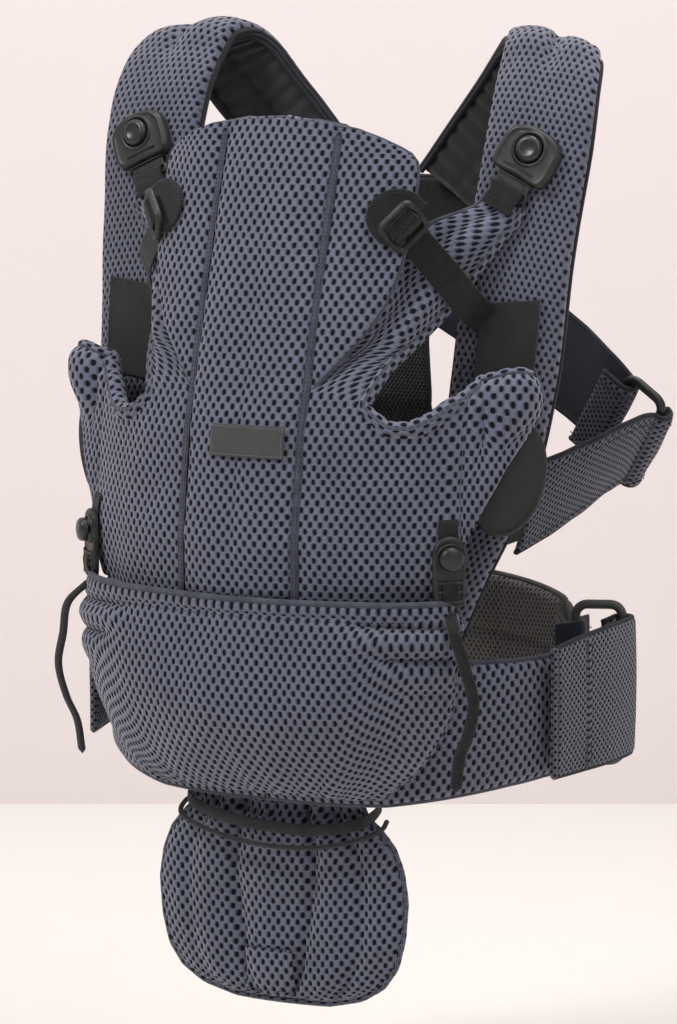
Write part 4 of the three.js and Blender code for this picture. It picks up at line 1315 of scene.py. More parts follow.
def pouch_bend(s):
    """How far round its curve a point across the pouch is, 0 in the middle and 1 at either side."""
    most = 1 - math.sqrt(1 - POUCH_ROUND**2)
    return (1 - np.sqrt(1 - (POUCH_ROUND * s) ** 2)) / most


def seat_pouch():
    """The pouch that the baby sits in, with pleats at its sides and gathers at its foot."""
    at = spline([row[1:4] for row in POUCH])
    back = [(row[0], row[4]) for row in POUCH]
    shares = [row[0] for row in POUCH]
    spans = np.linspace(0, 1, len(POUCH))

    def surface(u, v):
        z, wide, y = np.moveaxis(at(np.interp(v, shares, spans)), -1, 0)
        s = 1 - u * 2
        side = np.abs(s)
        folds = sum(
            depth * bump(z, height - fall * (side - 0.6), tall) * smooth((side - start) / full)
            for depth, height, fall, tall, start, full in PLEATS
        )
        gather = 1.3 * np.sin(s * 34.0 + 0.6 * np.sin(v * 6)) * smooth((v - 0.72) / 0.25)
        hem = -1.6 * bump(v, 0.055, 0.022) + 1.2 * bump(v, 0.02, 0.02)
        loose = 2.0 * ripple(s * 140, z, 85.0, 31) + 0.5 * ripple(s * 140, z, 30.0, 32)
        y = y + table(back, v) * pouch_bend(s) - (folds + gather + hem + loose) * (1 - 0.3 * side)
        return np.stack([wide * s * (1 - 0.012 * smooth(side * 4 - 3)), y, z], -1)

    s = sheet(surface, spread(81, 0.015), spread(96, 0.02), middle=True)
    body = shell(s, 6.2, rim=3.0, back_slot=1)
    parts = [body, tube(evenly(edge(s, "high"), 3.5)[0], 2.0, slot=2)]
    top = evenly(edge(s, "low"), 3.0)[0]
    parts.append(tube(top + v3(0, -1.5, 1.2), 2.3, slot=2, sides=10))
    parts += piped(s, SIDE_EDGES, 3.0, 2.9, slot=0, sides=10)
    grid = grid_of(s)
    parts.append(stitches(grid[9] + v3(0, -3.3, 0), v3(0, -1, 0.2), pitch=3.4, length=2.4, width=0.8, slot=3))
    obj = piece("seat_pouch_sewn", parts, [MESH, LINING, SEAM_KNIT, THREAD])
    place(obj, "harness", "mesh_main", "seat_pouch")


def seat_lining():
    """The chest's cloth carried on down inside the pouch, so that no daylight shows behind the hem."""
    def surface(u, v):
        s = 1 - u * 2
        top = on_panel(s * LINING_HALF, LINING_HIGH, -1.5)
        foot_y = LINING_FOOT_Y + LINING_FOOT_BACK * pouch_bend(s)
        foot = np.stack(np.broadcast_arrays(LINING_HALF * s, foot_y, LINING_LOW), -1)
        return lerp(top, foot, v[..., None])

    s = sheet(surface, spread(41, 0.02), spread(9, 0.05), middle=True)
    obj = piece("seat_lining", [shell(s, 2.4, rim=1.2, back_slot=1)], [MESH, LINING])
    place(obj, "harness", "mesh_main")


seat_pouch()
seat_lining()


# ---- waist belt ----------------------------------------------------------------------------------
def band(points, count_u, count_v, thick, swell=0.0, rim_share=0.06, ruffle=0.4, seed=41):
    """A band along points (x, y, low, high): its sheet and its shell."""
    path = spline([(p[0], p[1], 0) for p in points])
    place_of = np.linspace(0, 1, len(points))
    low = [(t, p[2]) for t, p in zip(place_of, points)]
    high = [(t, p[3]) for t, p in zip(place_of, points)]

    def surface(u, v):
        c = path(v)
        z = lerp(table(low, v), table(high, v), u)
        return np.stack([c[..., 0], c[..., 1], z], -1)

    # u runs up and v along, so that the face points away from the wearer
    s = sheet(surface, spread(count_u, rim_share), spread(count_v, 0.02))
    s["UV"] = s["UV"][:, ::-1].copy()
    run = s["UV"][:, 0]
    wrinkle = ruffle * ripple(run, s["P"][:, 2], 26.0, seed)
    puff = swell * np.sin(s["u"] * math.pi)
    body = shell(s, thick, out=puff + wrinkle, inside=0.5 * puff)
    return s, body


def around(bar, a, b, radius, low, high, count=7):
    """Band points round a bar, from direction a through b to the other side."""
    out = []
    for f in np.linspace(0, math.pi, count):
        p = np.asarray(bar) + np.asarray(a) * radius * math.cos(f) + np.asarray(b) * radius * math.sin(f)
        out.append((p[0], p[1], low, high))
    return out


RING_REACH = 16.0  # from the middle of a ring to its long bars
WRING_AT, WRING_OUT = v3(170, 45, 19), unit(v3(0.92, 0.38, 0))
WRING_BACK = v3(-WRING_OUT[1], WRING_OUT[0], 0)
WBAR_OUT, WBAR_IN = WRING_AT + WRING_OUT * RING_REACH, WRING_AT - WRING_OUT * RING_REACH
BELT_FRONT = [
    (0.4, -111, -48, 48), (40, -110.5, -48, 49), (84, -101, -47, 49), (118, -82, -42, 47),
    (148, -50, -36, 46),
    (162, -24, -33, 46), (168, 0, -32, 50), (170.5, 27, -31, 54),
]
BELT_WRAP = [
    (177, -38, -31, 55), (184, -8, -30, 60), (190, 20, -29, 63),
    *around(WBAR_OUT, WRING_OUT, WRING_BACK, 6.0, -28, 64), (176, 38, -28, 62),
]
LUMBAR_TAB = [(154, 62, -26, 62), *around(WBAR_IN, WRING_BACK, WRING_OUT, 6.0, -26, 62), (145, 28, -26, 60)]


def seams_on(s, body_lift, shares, slot):
    """Stitch lines that run the length of a band at those shares of its height."""
    grid = grid_of(s)
    n = normal_grid(s)
    heights = s["u"].reshape(s["shape"])[0]
    out = []
    for share in shares:
        column = int(np.argmin(np.abs(heights - share)))
        line = grid[:, column] + n[:, column] * body_lift
        out.append(stitches(line, n[:, column], pitch=3.6, length=2.5, width=0.8, slot=slot))
    return out


def waist_belt(side, sign):
    s, body = band(BELT_FRONT, 26, 110, 10.0, swell=3.6, rim_share=0.04, ruffle=1.4)
    parts = [body, *seams_on(s, 4.2, (0.06, 0.94), 2)]
    parts += piped(s, SIDE_EDGES, 3.5, 2.2, slot=1)
    obj = piece("belt_front_padded_" + side, parts, [MESH, SEAM_KNIT, THREAD], sign)
    place(obj, "harness", "mesh_main", "belt_front_" + side)
    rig.padded(obj, 0.6)


def belt_wrap(side, sign):
    s, body = band(BELT_WRAP, 22, 90, 5.2, swell=2.2, rim_share=0.04, ruffle=1.5, seed=43)
    parts = [body, *seams_on(s, 2.2, (0.05, 0.95), 2)]
    parts += piped(s, SIDE_EDGES, 3.0, 1.9, slot=1)
    parts.append(tube(evenly(edge(s, "low"), 3.0)[0], 2.6, slot=0))
    # the fold where the doubled end is sewn down
    path = spline([(p[0], p[1], 0) for p in BELT_WRAP])
    fold = path(np.full(30, 0.105)) + np.linspace(v3(0, 0, -29), v3(0, 0, 57), 30)
    out = unit(v3(0.96, -0.27, 0)) * 2.6
    parts.append(tube(fold + out, 1.8, slot=0))
    parts.append(stitches(fold + out * 1.2 + v3(1, 3.4, 0), v3(1, -0.2, 0), slot=2))
    obj = piece("belt_wrap_sewn_" + side, parts, [FINE_MESH, BINDING, THREAD], sign)
    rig.slot(obj, "mesh_fine")
    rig.replaces(obj, "belt_wrap_" + side)
    start, end = v3(178, -25, 15), v3(186, 36, 15)
    flip = v3(sign, 1, 1) * MM
    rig.blend(obj, "harness", "waist_ring_" + side, start=start * flip, end=end * flip)


def lumbar_tab(side, sign):
    s, body = band(LUMBAR_TAB, 16, 60, 3.6, rim_share=0.04, ruffle=0.3, seed=45)
    parts = [body, *seams_on(s, 2.0, (0.08, 0.92), 1)]
    obj = piece("lumbar_tab_woven_" + side, parts, [NAVY_LINING, THREAD], sign)
    place(obj, "harness", "webbing", "lumbar_tab_" + side)


LUMBAR_A, LUMBAR_B, LUMBAR_MIDDLE_Y, LUMBAR_SWEEP = 163.0, 104.0, 12.0, math.radians(61)


def lumbar_pad():
    def surface(u, v):
        f = (u * 2 - 1) * LUMBAR_SWEEP
        share = np.abs(u * 2 - 1) ** 2
        z = lerp(lerp(-46, -36, share), lerp(78, 66, share), v)
        corner = smooth((np.abs(u * 2 - 1) - 0.86) / 0.14) * 16 * np.abs(v * 2 - 1) ** 3 * np.sign(0.5 - v)
        return np.stack([LUMBAR_A * np.sin(f), LUMBAR_MIDDLE_Y + LUMBAR_B * np.cos(f), z + corner], -1)

    s = sheet(surface, spread(70, 0.02), spread(30, 0.05), middle=True)
    u, v = s["u"], s["v"]
    lane = np.abs(u * 2 - 1)
    quilt = -2.4 * (bump(v, 0.34, 0.02) + bump(v, 0.68, 0.02)) - 2.4 * (
        bump(lane, 0.42, 0.012) + bump(lane, 0.86, 0.012)
    )
    puff = 2.2 * np.sqrt(np.clip(np.sin(v * math.pi), 0, 1))
    body = shell(s, 11.0, rim=5.5, out=puff + quilt, inside=puff + quilt, back_slot=0)
    ring = ring_of(s)
    ring = evenly(ring, 4.0)[0]
    parts = [body, tube(ring, 2.3, slot=1, closed=True)]
    obj = piece("lumbar_pad_quilted", parts, [GREY_MESH, BINDING_GREY, THREAD_GREY])
    place(obj, "harness", "mesh_grey", "lumbar_pad")
    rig.padded(obj, 0.7)


# ---- back ----------------------------------------------------------------------------------------
YOKE_HALF = [(252, 34), (290, 58), (318, 60), (352, 44)]
SPINE_FOOT, SPINE_TOP = 62.0, 262.0  # its feet are sewn to the inside of the lumbar pad
SPINE_HALF = [(62, 42), (90, 44), (150, 40), (205, 36), (262, 22)]
SPINE_Y = [(62, 106.5), (74, 99), (90, 84), (120, 68), (200, 54), (240, 68), (262, 80.5)]
ARCH_HALF, ARCH_HEAD = 12.0, 174.0


def back_yoke():
    def surface(u, v):
        z = lerp(252, 352, v)
        return np.stack(
            [(1 - u * 2) * table(YOKE_HALF, z), 87.5 + 0.6 * ripple((u - 0.5) * 110, z, 40, 51), z], -1
        )

    s = sheet(surface, spread(24, 0.04), spread(30, 0.04), middle=True)
    body = shell(s, 5.6, rim=2.8, out=1.2 * np.sin(s["u"] * math.pi))
    parts = [body]
    ring = ring_of(s)
    middle = ring.mean(0)
    parts.append(tube(evenly(ring, 3.5)[0], 1.8, slot=1, closed=True))
    for inset in (0.10, 0.16):
        line = evenly(np.vstack([ring, ring[:1]]) * (1 - inset) + middle * inset, 3.0)[0]
        parts.append(stitches(line + v3(0, 3.6, 0), v3(0, 1, 0), slot=2))
    # the sewn cross in the middle
    for a, b in (((-30, 276), (30, 336)), ((30, 276), (-30, 336))):
        line = np.linspace(v3(a[0], 91.6, a[1]), v3(b[0], 91.6, b[1]), 30)
        parts.append(stitches(line, v3(0, 1, 0), slot=2))
    place(piece("back_yoke_sewn", parts, [PATCH, BINDING, THREAD]), "harness", "knit_black", "back_yoke")


def spine_panel():
    # two legs, each half a panel, that meet above the arch
    def leg(sign):
        def surface(u, v):
            z = lerp(SPINE_FOOT, SPINE_TOP, v)
            inner = np.where(
                z < ARCH_HEAD, ARCH_HALF, np.sqrt(np.clip(ARCH_HALF**2 - (z - ARCH_HEAD) ** 2, 0, None))
            )
            x = lerp(inner, table(SPINE_HALF, z), u)
            return np.stack([sign * x, table(SPINE_Y, z), z], -1)

        def cloth(u, v):
            return u * 40 * sign, v * (SPINE_TOP - SPINE_FOOT) * 1.15

        arch_rows = (ARCH_HEAD + np.linspace(0, ARCH_HALF, 9) - SPINE_FOOT) / (SPINE_TOP - SPINE_FOOT)
        return sheet(surface, spread(14, 0.1), np.unique(np.r_[spread(50, 0.02), arch_rows]), uv=cloth)

    rows = []
    for sign in (1.0, -1.0):
        s = leg(sign)
        if sign > 0:
            s["F"] = s["F"][:, ::-1]
        rows.append(s)
    both = welded(*rows)
    parts = [shell(both, 4.5, rim=2.2)]
    for s in rows:
        parts.append(tube(evenly(edge(s, "right"), 3.5)[0], 1.8, slot=1))
        inner = edge(s, "left")
        parts.append(tube(evenly(inner[inner[:, 2] < ARCH_HEAD + ARCH_HALF - 0.5], 3.0)[0], 1.6, slot=1))
    place(piece("spine_panel_mesh", parts, [BLACK_MESH, BINDING]), "harness", "knit_black", "spine_panel")


# ---- side straps, their returns and the rings ----------------------------------------------------
RING_AT = v3(174, 79, 187)
RING_LONG = unit(v3(0.54, -0.33, 0.78))
RING_OUT = square_to(v3(0.82, -0.03, -0.58), RING_LONG)
RING_FRONT = np.cross(RING_OUT, RING_LONG)
BAR_IN, BAR_OUT = RING_AT - RING_OUT * RING_REACH, RING_AT + RING_OUT * RING_REACH
SIDE_HALF, FOLD_R = 32.0, 6.8


def round_bar(bar, start, through, count=7):
    return [
        (bar + start * FOLD_R * math.cos(f) + through * FOLD_R * math.sin(f), RING_LONG, SIDE_HALF)
        for f in np.linspace(0, math.pi, count)
    ]


SIDE_STRAP = [
    ((42, 73.6, 284), (0.53, 0, 0.85), SIDE_HALF), ((78, 81, 260), (0.53, -0.05, 0.85), SIDE_HALF),
    ((118, 89, 232), (0.53, -0.18, 0.82), SIDE_HALF), ((145, 88.5, 212), (0.54, -0.28, 0.79), SIDE_HALF),
    *round_bar(BAR_IN, -RING_FRONT, RING_OUT),
    (BAR_IN + RING_FRONT * FOLD_R - RING_OUT * RING_REACH, RING_LONG, SIDE_HALF),
]
RETURN_STRAP = [
    *round_bar(BAR_OUT, -RING_FRONT, RING_OUT),
    ((181, 58, 174), (0.5, -0.28, 0.82), SIDE_HALF), ((168, 33, 162), (0.42, -0.18, 0.89), SIDE_HALF),
    ((154, 11, 151), (0.34, -0.08, 0.93), SIDE_HALF), ((142, -8, 143), (0.28, 0, 0.95), SIDE_HALF),
]


def strap_sheet(stations, count_u, count_v):
    along = strap_along(stations)

    def surface(u, v):
        p, w, half, n = along(v)
        across = (u * 2 - 1) * half
        return p + w * across[..., None]

    return sheet(surface, spread(count_u, 0.05), spread(count_v, 0.01), middle=True)


def side_strap(side, sign):
    s = strap_sheet(SIDE_STRAP, 19, 120)
    u, v = s["u"], s["v"]
    soft = 0.5 * ripple(u * 64, v * 200, 40, 61)
    body = shell(
        s, 4.6, rim=2.3, out=soft + 0.6 * np.sin(u * math.pi), inside=0.4 * np.sin(u * math.pi), front_slot=0,
        back_slot=1
    )
    parts = [body]
    parts += piped(s, SIDE_EDGES, 3.0, 1.9, slot=2)
    parts += seams_on(s, -2.6, (0.08, 0.92), 3)
    parts += seams_on(s, 2.8, (0.08, 0.92), 3)
    obj = piece("side_strap_sewn_" + side, parts, [FINE_MESH, NAVY_LINING, BINDING, THREAD], sign)
    place(obj, "harness", "lining_navy", "side_strap_" + side)


def return_strap(side, sign):
    s = strap_sheet(RETURN_STRAP, 19, 100)
    u, v = s["u"], s["v"]
    soft = 0.5 * ripple(u * 64, v * 150, 36, 63)
    body = shell(s, 4.8, rim=2.4, out=soft + 0.8 * np.sin(u * math.pi), inside=0.3, back_slot=1)
    parts = [body]
    parts += piped(s, SIDE_EDGES, 3.0, 1.9, slot=2)
    parts += seams_on(s, 2.9, (0.08, 0.92), 3)
    obj = piece("return_strap_sewn_" + side, parts, [FINE_MESH, NAVY_LINING, BINDING, THREAD], sign)
    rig.slot(obj, "mesh_fine")
    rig.replaces(obj, "return_strap_" + side)
    start, end = v3(150, 4, 148), v3(184, 66, 178)
    flip = v3(sign, 1, 1) * MM
    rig.blend(obj, "harness", "side_ring_" + side, start=start * flip, end=end * flip)


def rounded_loop(wide, high, corner, steps=7):
    """Points of a rounded rectangle about the origin, in x and y."""
    out = []
    for cx, cy, start in ((1, 1, 0), (-1, 1, 1), (-1, -1, 2), (1, -1, 3)):
        for f in np.linspace(0, math.pi / 2, steps):
            a = start * math.pi / 2 + f
            out.append(
                (
                    cx * (wide / 2 - corner) + corner * math.cos(a),
                    cy * (high / 2 - corner) + corner * math.sin(a)
                )
            )
    return np.array(out)


def loop_of(at, wide, high, corner):
    """A rounded loop in a frame's x-y plane, with points a few millimetres apart."""
    flat = rounded_loop(wide, high, corner)
    flat = np.vstack([flat, flat[:1]])
    points = evenly(np.c_[flat, np.zeros(len(flat))], 2.0)[0][:-1]
    return at(points[:, 0], points[:, 1], points[:, 2])


def rings(side, sign):
    ring_frame = frame_of(RING_OUT, RING_LONG, RING_FRONT, RING_AT)
    body = tube(loop_of(ring_frame, 31.6, 77.0, 8.0), 3.2, closed=True, sides=14)
    obj = piece("side_ring_moulded_" + side, [body], [PLASTIC], sign)
    place(obj, "side_ring_" + side, "plastic", "side_ring_" + side)
    waist = frame_of(WRING_OUT, v3(0, 0, 1), -WRING_BACK, WRING_AT)
    body = tube(loop_of(waist, 31.6, 107.0, 8.0), 3.2, closed=True, sides=14)
    obj = piece("waist_ring_moulded_" + side, [body], [PLASTIC_SOFT], sign)
    place(obj, "waist_ring_" + side, "plastic_grey", "waist_ring_" + side)


lumbar_pad()
back_yoke()
spine_panel()
for side, sign in SIDES:
    waist_belt(side, sign)
    belt_wrap(side, sign)
    lumbar_tab(side, sign)
    side_strap(side, sign)
    return_strap(side, sign)
    rings(side, sign)


# ---- moulded pieces ------------------------------------------------------------------------------
def loft(rings, slot=0):
    """Closed rings of points (n, 3) joined in order, with flat fans over the first and the last."""
    count = len(rings[0])
    index = np.arange(len(rings) * count).reshape(len(rings), count)
    nxt = np.roll(index, -1, 1)
    quads = [np.stack([index[:-1], nxt[:-1], nxt[1:], index[1:]], -1).reshape(-1, 4)]
    first, last = np.full(count, index.size), np.full(count, index.size + 1)
    quads.append(np.stack([first, nxt[0], index[0], index[0]], -1))
    quads.append(np.stack([last, index[-1], nxt[-1], nxt[-1]], -1))
    points, quads = np.vstack([*rings, rings[0].mean(0), rings[-1].mean(0)]), np.vstack(quads)
    return {"P": points, "F": quads, "UV": np.zeros((len(points), 2)), "slots": np.full(len(quads), slot)}


def circle(radius, count, turn=0.0):
    a = np.arange(count) * 2 * math.pi / count + turn
    return np.c_[radius * np.cos(a), radius * np.sin(a)]


def outline_at(at, flat, z, centre=(0.0, 0.0), scale=1.0, inset=0.0):
    """A flat outline at a height in a frame, scaled about a centre and drawn in by an inset."""
    flat = np.asarray(flat, float)
    middle = np.asarray(centre, float)
    away = flat - middle
    size = np.linalg.norm(away, axis=1, keepdims=True)
    moved = middle + away * scale * np.clip((size - inset) / size, 0.02, None)
    return at(moved[:, 0], moved[:, 1], np.full(len(moved), float(z)))


def stepped(at, flat, steps, centre=(0.0, 0.0), scale=1.0):
    """Rings of a flat outline, each step an inset and a height."""
    return [outline_at(at, flat, z, centre, scale, inset) for inset, z in steps]


def spun(at, profile, centre=(0.0, 0.0), count=48, slot=0):
    """A turned piece: profile (radius, height) from one end to the other."""
    rings = []
    for radius, z in profile:
        flat = circle(max(radius, 0.02), count) + np.asarray(centre)
        rings.append(at(flat[:, 0], flat[:, 1], np.full(count, float(z))))
    return loft(rings, slot)


def resampled(flat, count):
    """A closed outline with its points evenly spaced, starting where it crosses the +x side of its middle."""
    flat = np.asarray(flat, float)
    flat = np.vstack([flat, flat[:1]])
    return evenly(
        np.c_[flat, np.zeros(len(flat))], np.linalg.norm(np.diff(flat, axis=0), axis=1).sum() / count
    )[0][:count, :2]


def shield_outline(count=96):
    """The safety buckle's outline: a flat foot and a round head."""
    line = spline([
        (23, 0, 0), (22, 8.5, 0), (17, 15, 0), (9, 18.3, 0), (0, 19, 0), (-9, 18.3, 0), (-17, 15, 0),
        (-22, 8.5, 0),
        (-23, 0, 0), (-23, -9, 0), (-21.4, -16, 0), (-19, -18, 0), (0, -18, 0), (19, -18, 0), (21.4, -16, 0),
        (23, -9, 0), (23, 0, 0),
    ])
    flat = line(np.linspace(0, 1, 400))[:, :2]
    return resampled(flat, count)


BUTTON_AT, TONGUE_AT = (0.0, 3.0), (0.0, -13.4)
BUCKLE_SCALE = 0.94


def safety_buckle(side, sign):
    """The housing with a well for its round button, and the mouth that the tongue goes into."""
    outline = shield_outline()
    well = circle(1.0, len(outline), math.atan2(outline[0, 1] - BUTTON_AT[1], outline[0, 0]))

    def ring(radius, z):
        x, y = (well * radius + BUTTON_AT).T
        return in_buckle(x, y, z)

    rings = stepped(in_buckle, outline, [
        (2.2, 0.0), (0.6, 0.4), (0.0, 1.8), (0.0, 5.6), (0.5, 7.6), (1.6, 8.8), (3.0, 9.2), (4.2, 8.9),
        (5.6, 8.7),
    ], scale=BUCKLE_SCALE)
    for radius, z in (
        (12.6, 8.9), (12.0, 9.6), (11.3, 10.2), (10.6, 10.2), (10.0, 9.7), (9.7, 8.6), (9.6, 5.4),
    ):
        rings.append(ring(radius, z))
    parts = [loft(rings)]
    # two lines moulded across the face, and the rim of the mouth
    for y, z, radius in ((-11.2, 9.0, 0.7), (-12.6, 8.9, 0.45)):
        parts.append(tube(in_buckle(np.linspace(-11.5, 11.5, 16), y, z), radius, slot=0, flat=0.7))
    mouth = rounded_loop(27.0, 3.6, 1.0)
    parts.append(tube(in_buckle(mouth[:, 0], -18.2, mouth[:, 1] + 3.2), 0.7, closed=True))
    obj = piece("safety_buckle_" + side, parts, [PLASTIC], sign, sharp=40)
    place(obj, "harness", "plastic", "buckle_housing_" + side)
    button = spun(in_buckle, [
        (8.9, 7.8), (9.0, 8.2), (9.0, 10.6), (8.6, 11.8), (7.6, 12.8), (6.4, 13.3), (5.4, 13.3), (4.0, 12.9),
        (2.0, 12.6),
        (0.0, 12.5),
    ], BUTTON_AT)
    obj = piece("press_button_" + side, [button], [PLASTIC_GLOSS], sign, sharp=40)
    place(obj, "button_" + side, "plastic", "buckle_button_" + side)


def buckle_tongue(side, sign):
    """The tongue's frame with the webbing looped through it, sewn to the end of the wing."""
    blade = rounded_loop(25.5, 25.0, 2.5) + TONGUE_AT
    steps = [(0.6, 2.0), (0, 2.5), (0, 3.5), (0.6, 4.0)]
    parts = [loft(stepped(in_buckle, blade, steps, centre=TONGUE_AT))]
    parts.append(tube(loop_of(moved(in_buckle, 0, -27.0, 3.0), 27.0, 5.6, 2.0), 1.5, closed=True, sides=10))
    obj = piece("tongue_moulded_" + side, parts, [PLASTIC], sign, sharp=40)
    place(obj, "tongue_" + side, "plastic", "buckle_tongue_" + side)
    route = spline(
        [(0, -24.6, 1.2), (0, -24.8, 5.0), (0, -26.4, 6.3), (0, -29.0, 6.9), (0, -34, 7.6), (0, -42, 8.0)]
    )

    def surface(u, v):
        p = route(v)
        return in_buckle((1 - u * 2) * 11.2, p[..., 1], p[..., 2])

    s = sheet(surface, spread(9, 0.08), spread(24, 0.03))
    grid = grid_of(s)
    web = shell(s, 1.5, rim=0.75)
    rows = [
        stitches(
            grid[k] + in_buckle.axes[2] * 0.9, in_buckle.axes[2], pitch=2.6, length=1.8, width=0.6, slot=1
        ) for k in (17, 24)
    ]
    obj = piece("tongue_webbing_" + side, [web, *rows], [WEBBING, THREAD], sign)
    place(obj, "tongue_" + side, "webbing", "buckle_web_" + side)


# ---- head support webbing and its ladder locks -----------------------------------------------------
WEB_HALF, WEB_THICK = 11.0, 1.7
WEB_STITCH_AT = (0.86, 0.945)  # shares of the webbing's run
WEB_SPLIT = 8 / 11  # the run's ninth point of twelve: up to it the webbing follows the lock
WEB_START = on_panel(92, 336, 11)
SEWN_U, SEWN_T = -13.0, 0.318   # where the webbing is sewn to the strap patch
WEB_LIFT = 10.45  # in front of the strap's middle layer, where the webbing is sewn down
WEB_END = on_strap(SEWN_U, SEWN_T, WEB_LIFT)


def lock_frame():
    """x across the webbing, y back along it, z out of the lock's face."""
    y = unit(WEB_START - WEB_END)
    z = square_to(v3(0.56, -0.82, 0.1), y)
    return frame_of(np.cross(y, z), y, z, WEB_START)


in_lock = lock_frame()


def head_lock(side, sign):
    """The ladder lock: a rounded frame with a raised lip and one bar across."""
    parts = [tube(loop_of(in_lock, 26.0, 23.0, 4.0), 2.5, closed=True, sides=12, flat=0.9)]
    parts.append(tube(in_lock(np.linspace(-12, 12, 12), 0, 0.2), 2.0, sides=12))
    parts.append(tube(loop_of(moved(in_lock, 0, 0, 2.0), 27.0, 24.0, 4.0), 0.9, closed=True))
    obj = piece("ladder_lock_" + side, parts, [PLASTIC], sign)
    place(obj, "head_lock_" + side, "plastic", "head_lock_" + side)


def lock_tab(side, sign):
    """The rounded black tab that holds the lock on the head support."""
    def surface(u, v):
        # a lobe that is widest by the lock and rounds off towards the middle of the panel
        reach = lerp(-4.0, 30.0, v)
        half = 19.0 * np.sqrt(
            np.clip(1 - (np.clip((reach - 8) / 22.0, 0, 1)) ** 2, 0.0, 1)
        ) * (0.86 + 0.14 * smooth(v * 3))
        across = (u * 2 - 1) * np.maximum(half, 0.4)
        s_mid, z_mid = 95.0, 338.0
        s = s_mid - reach * 0.86 + across * 0.42
        z = z_mid + reach * 0.42 + across * 0.86
        return on_panel(s, z, 8.2 + 0.8 * smooth((8 - reach) / 12))

    s = facing_front(
        sheet(surface, spread(15, 0.06), np.r_[np.linspace(0, 0.92, 20), 0.95, 0.975, 0.99, 0.997])
    )
    grid = grid_of(s)
    ring = np.vstack([grid[2:, 1], grid[-1, 1:-1], grid[2:, -2][::-1]])
    middle = grid[8, 7]
    line = evenly(ring * 0.9 + middle * 0.1, 2.5)[0] + unit(v3(0.45, -0.9, 0)) * 1.3
    parts = [
        shell(s, 2.2, rim=1.1), stitches(line, v3(0.4, -0.9, 0), pitch=3.0, length=2.1, width=0.65, slot=1)
    ]
    obj = piece("lock_tab_" + side, parts, [WEBBING, THREAD], sign)
    place(obj, "head", "webbing")


def head_web(side, sign):
    """The webbing from the lock across to the patch on the shoulder strap."""
    end_out = unit(on_strap(SEWN_U, SEWN_T, 1.0) - on_strap(SEWN_U, SEWN_T, 0.0))
    end_along = square_to(v3(0.8, 0.1, -0.6), end_out)
    lock_x = in_lock.axes[0]
    end_wide = np.cross(end_out, end_along)
    if end_wide.dot(lock_x) < 0:
        end_wide = -end_wide
    lock_at = in_lock.origin
    route = spline([
        in_lock(0, 6.2, -3.4), in_lock(0, 4.9, 0), in_lock(0, 2.6, 3.3), in_lock(0, 0, 3.9),
        in_lock(0, -2.6, 3.3),
        in_lock(0, -5.2, 0), in_lock(0, -7.2, -2.4), in_lock(0, -14, -3.6),
        lerp(lock_at, WEB_END, 0.55) + end_out * 6.5,
        WEB_END - end_along * 9 + end_out * 4, WEB_END + end_out * 0.3, WEB_END + end_along * 11,
    ])

    def surface(u, v):
        t = smooth((v - 0.62) / 0.25)[..., None]
        wide = unit(lock_x * (1 - t) + end_wide * t)
        return route(v) + wide * ((u * 2 - 1) * WEB_HALF)[..., None]

    def run(name, first, last, rows):
        """The webbing between two shares of its length, as a closed strip with its two rows of stitches."""
        s = facing_front(sheet(surface, spread(9, 0.08), np.linspace(first, last, rows)))
        ribs = 0.12 * np.sin(s["UV"][:, 1] * 2 * math.pi / 2.2)
        parts = [shell(s, WEB_THICK, rim=0.85, out=ribs)]
        if last == 1.0:
            for v in WEB_STITCH_AT:
                row = surface(np.linspace(0.08, 0.92, 9), np.full(9, v)) + end_out * (WEB_THICK / 2 + 0.2)
                parts.append(stitches(row, end_out, pitch=2.6, length=1.9, width=0.65, slot=1))
        obj = piece(name + side, parts, [WEBBING, THREAD], sign)
        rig.slot(obj, "webbing")
        return obj

    threaded = run("head_webbing_threaded_", 0.0, WEB_SPLIT, 70)
    flip = v3(sign, 1, 1) * MM
    split_at = route(np.array([WEB_SPLIT]))[0]
    still = lerp(lock_at, split_at, 0.9)
    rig.blend(
        threaded, "head", "head_lock_" + side, start=still * flip, end=lerp(lock_at, split_at, 0.15) * flip
    )
    rest = run("head_webbing_", WEB_SPLIT, 1.0, 56)
    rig.replaces(rest, "head_web_" + side)
    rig.blend(rest, "harness", "head", start=WEB_END * flip, end=lerp(split_at, WEB_END, 0.05) * flip)


# ---- size plates, leg buckles ----------------------------------------------------------------------
in_plate = frame_at((154, -63, 171), (0.916, 0.4, -0.22), (0.4, -0.916, 0))


def size_plate(side, sign):
    """An oval plate, slightly domed, with a rolled rim."""
    oval = circle(1.0, 80) * v3(25.0, 40.0)
    body = loft(stepped(in_plate, oval, [
        (24.4, -1.5), (1.5, -1.6), (0.4, -1.2), (0.0, -0.3), (0.1, 0.8), (0.8, 1.6), (2.0, 1.9), (3.4, 1.5),
        (5.0, 1.3), (14.0, 1.8), (24.4, 2.0),
    ]))
    obj = piece("size_plate_moulded_" + side, [body], [PLASTIC], sign, sharp=60)
    place(obj, "size_plate_" + side, "plastic", "size_plate_" + side)


LEG_S, LEG_Z, LEG_LIFT = 141.0, 112.0, 7.5
LEG_ANCHOR_Z = 148.0
LEG_OUT = v3(math.sin(LEG_S / PANEL_R), -math.cos(LEG_S / PANEL_R), 0)
in_leg = frame_at(on_panel(LEG_S, LEG_Z, LEG_LIFT), (-LEG_OUT[1], LEG_OUT[0], 0), LEG_OUT)


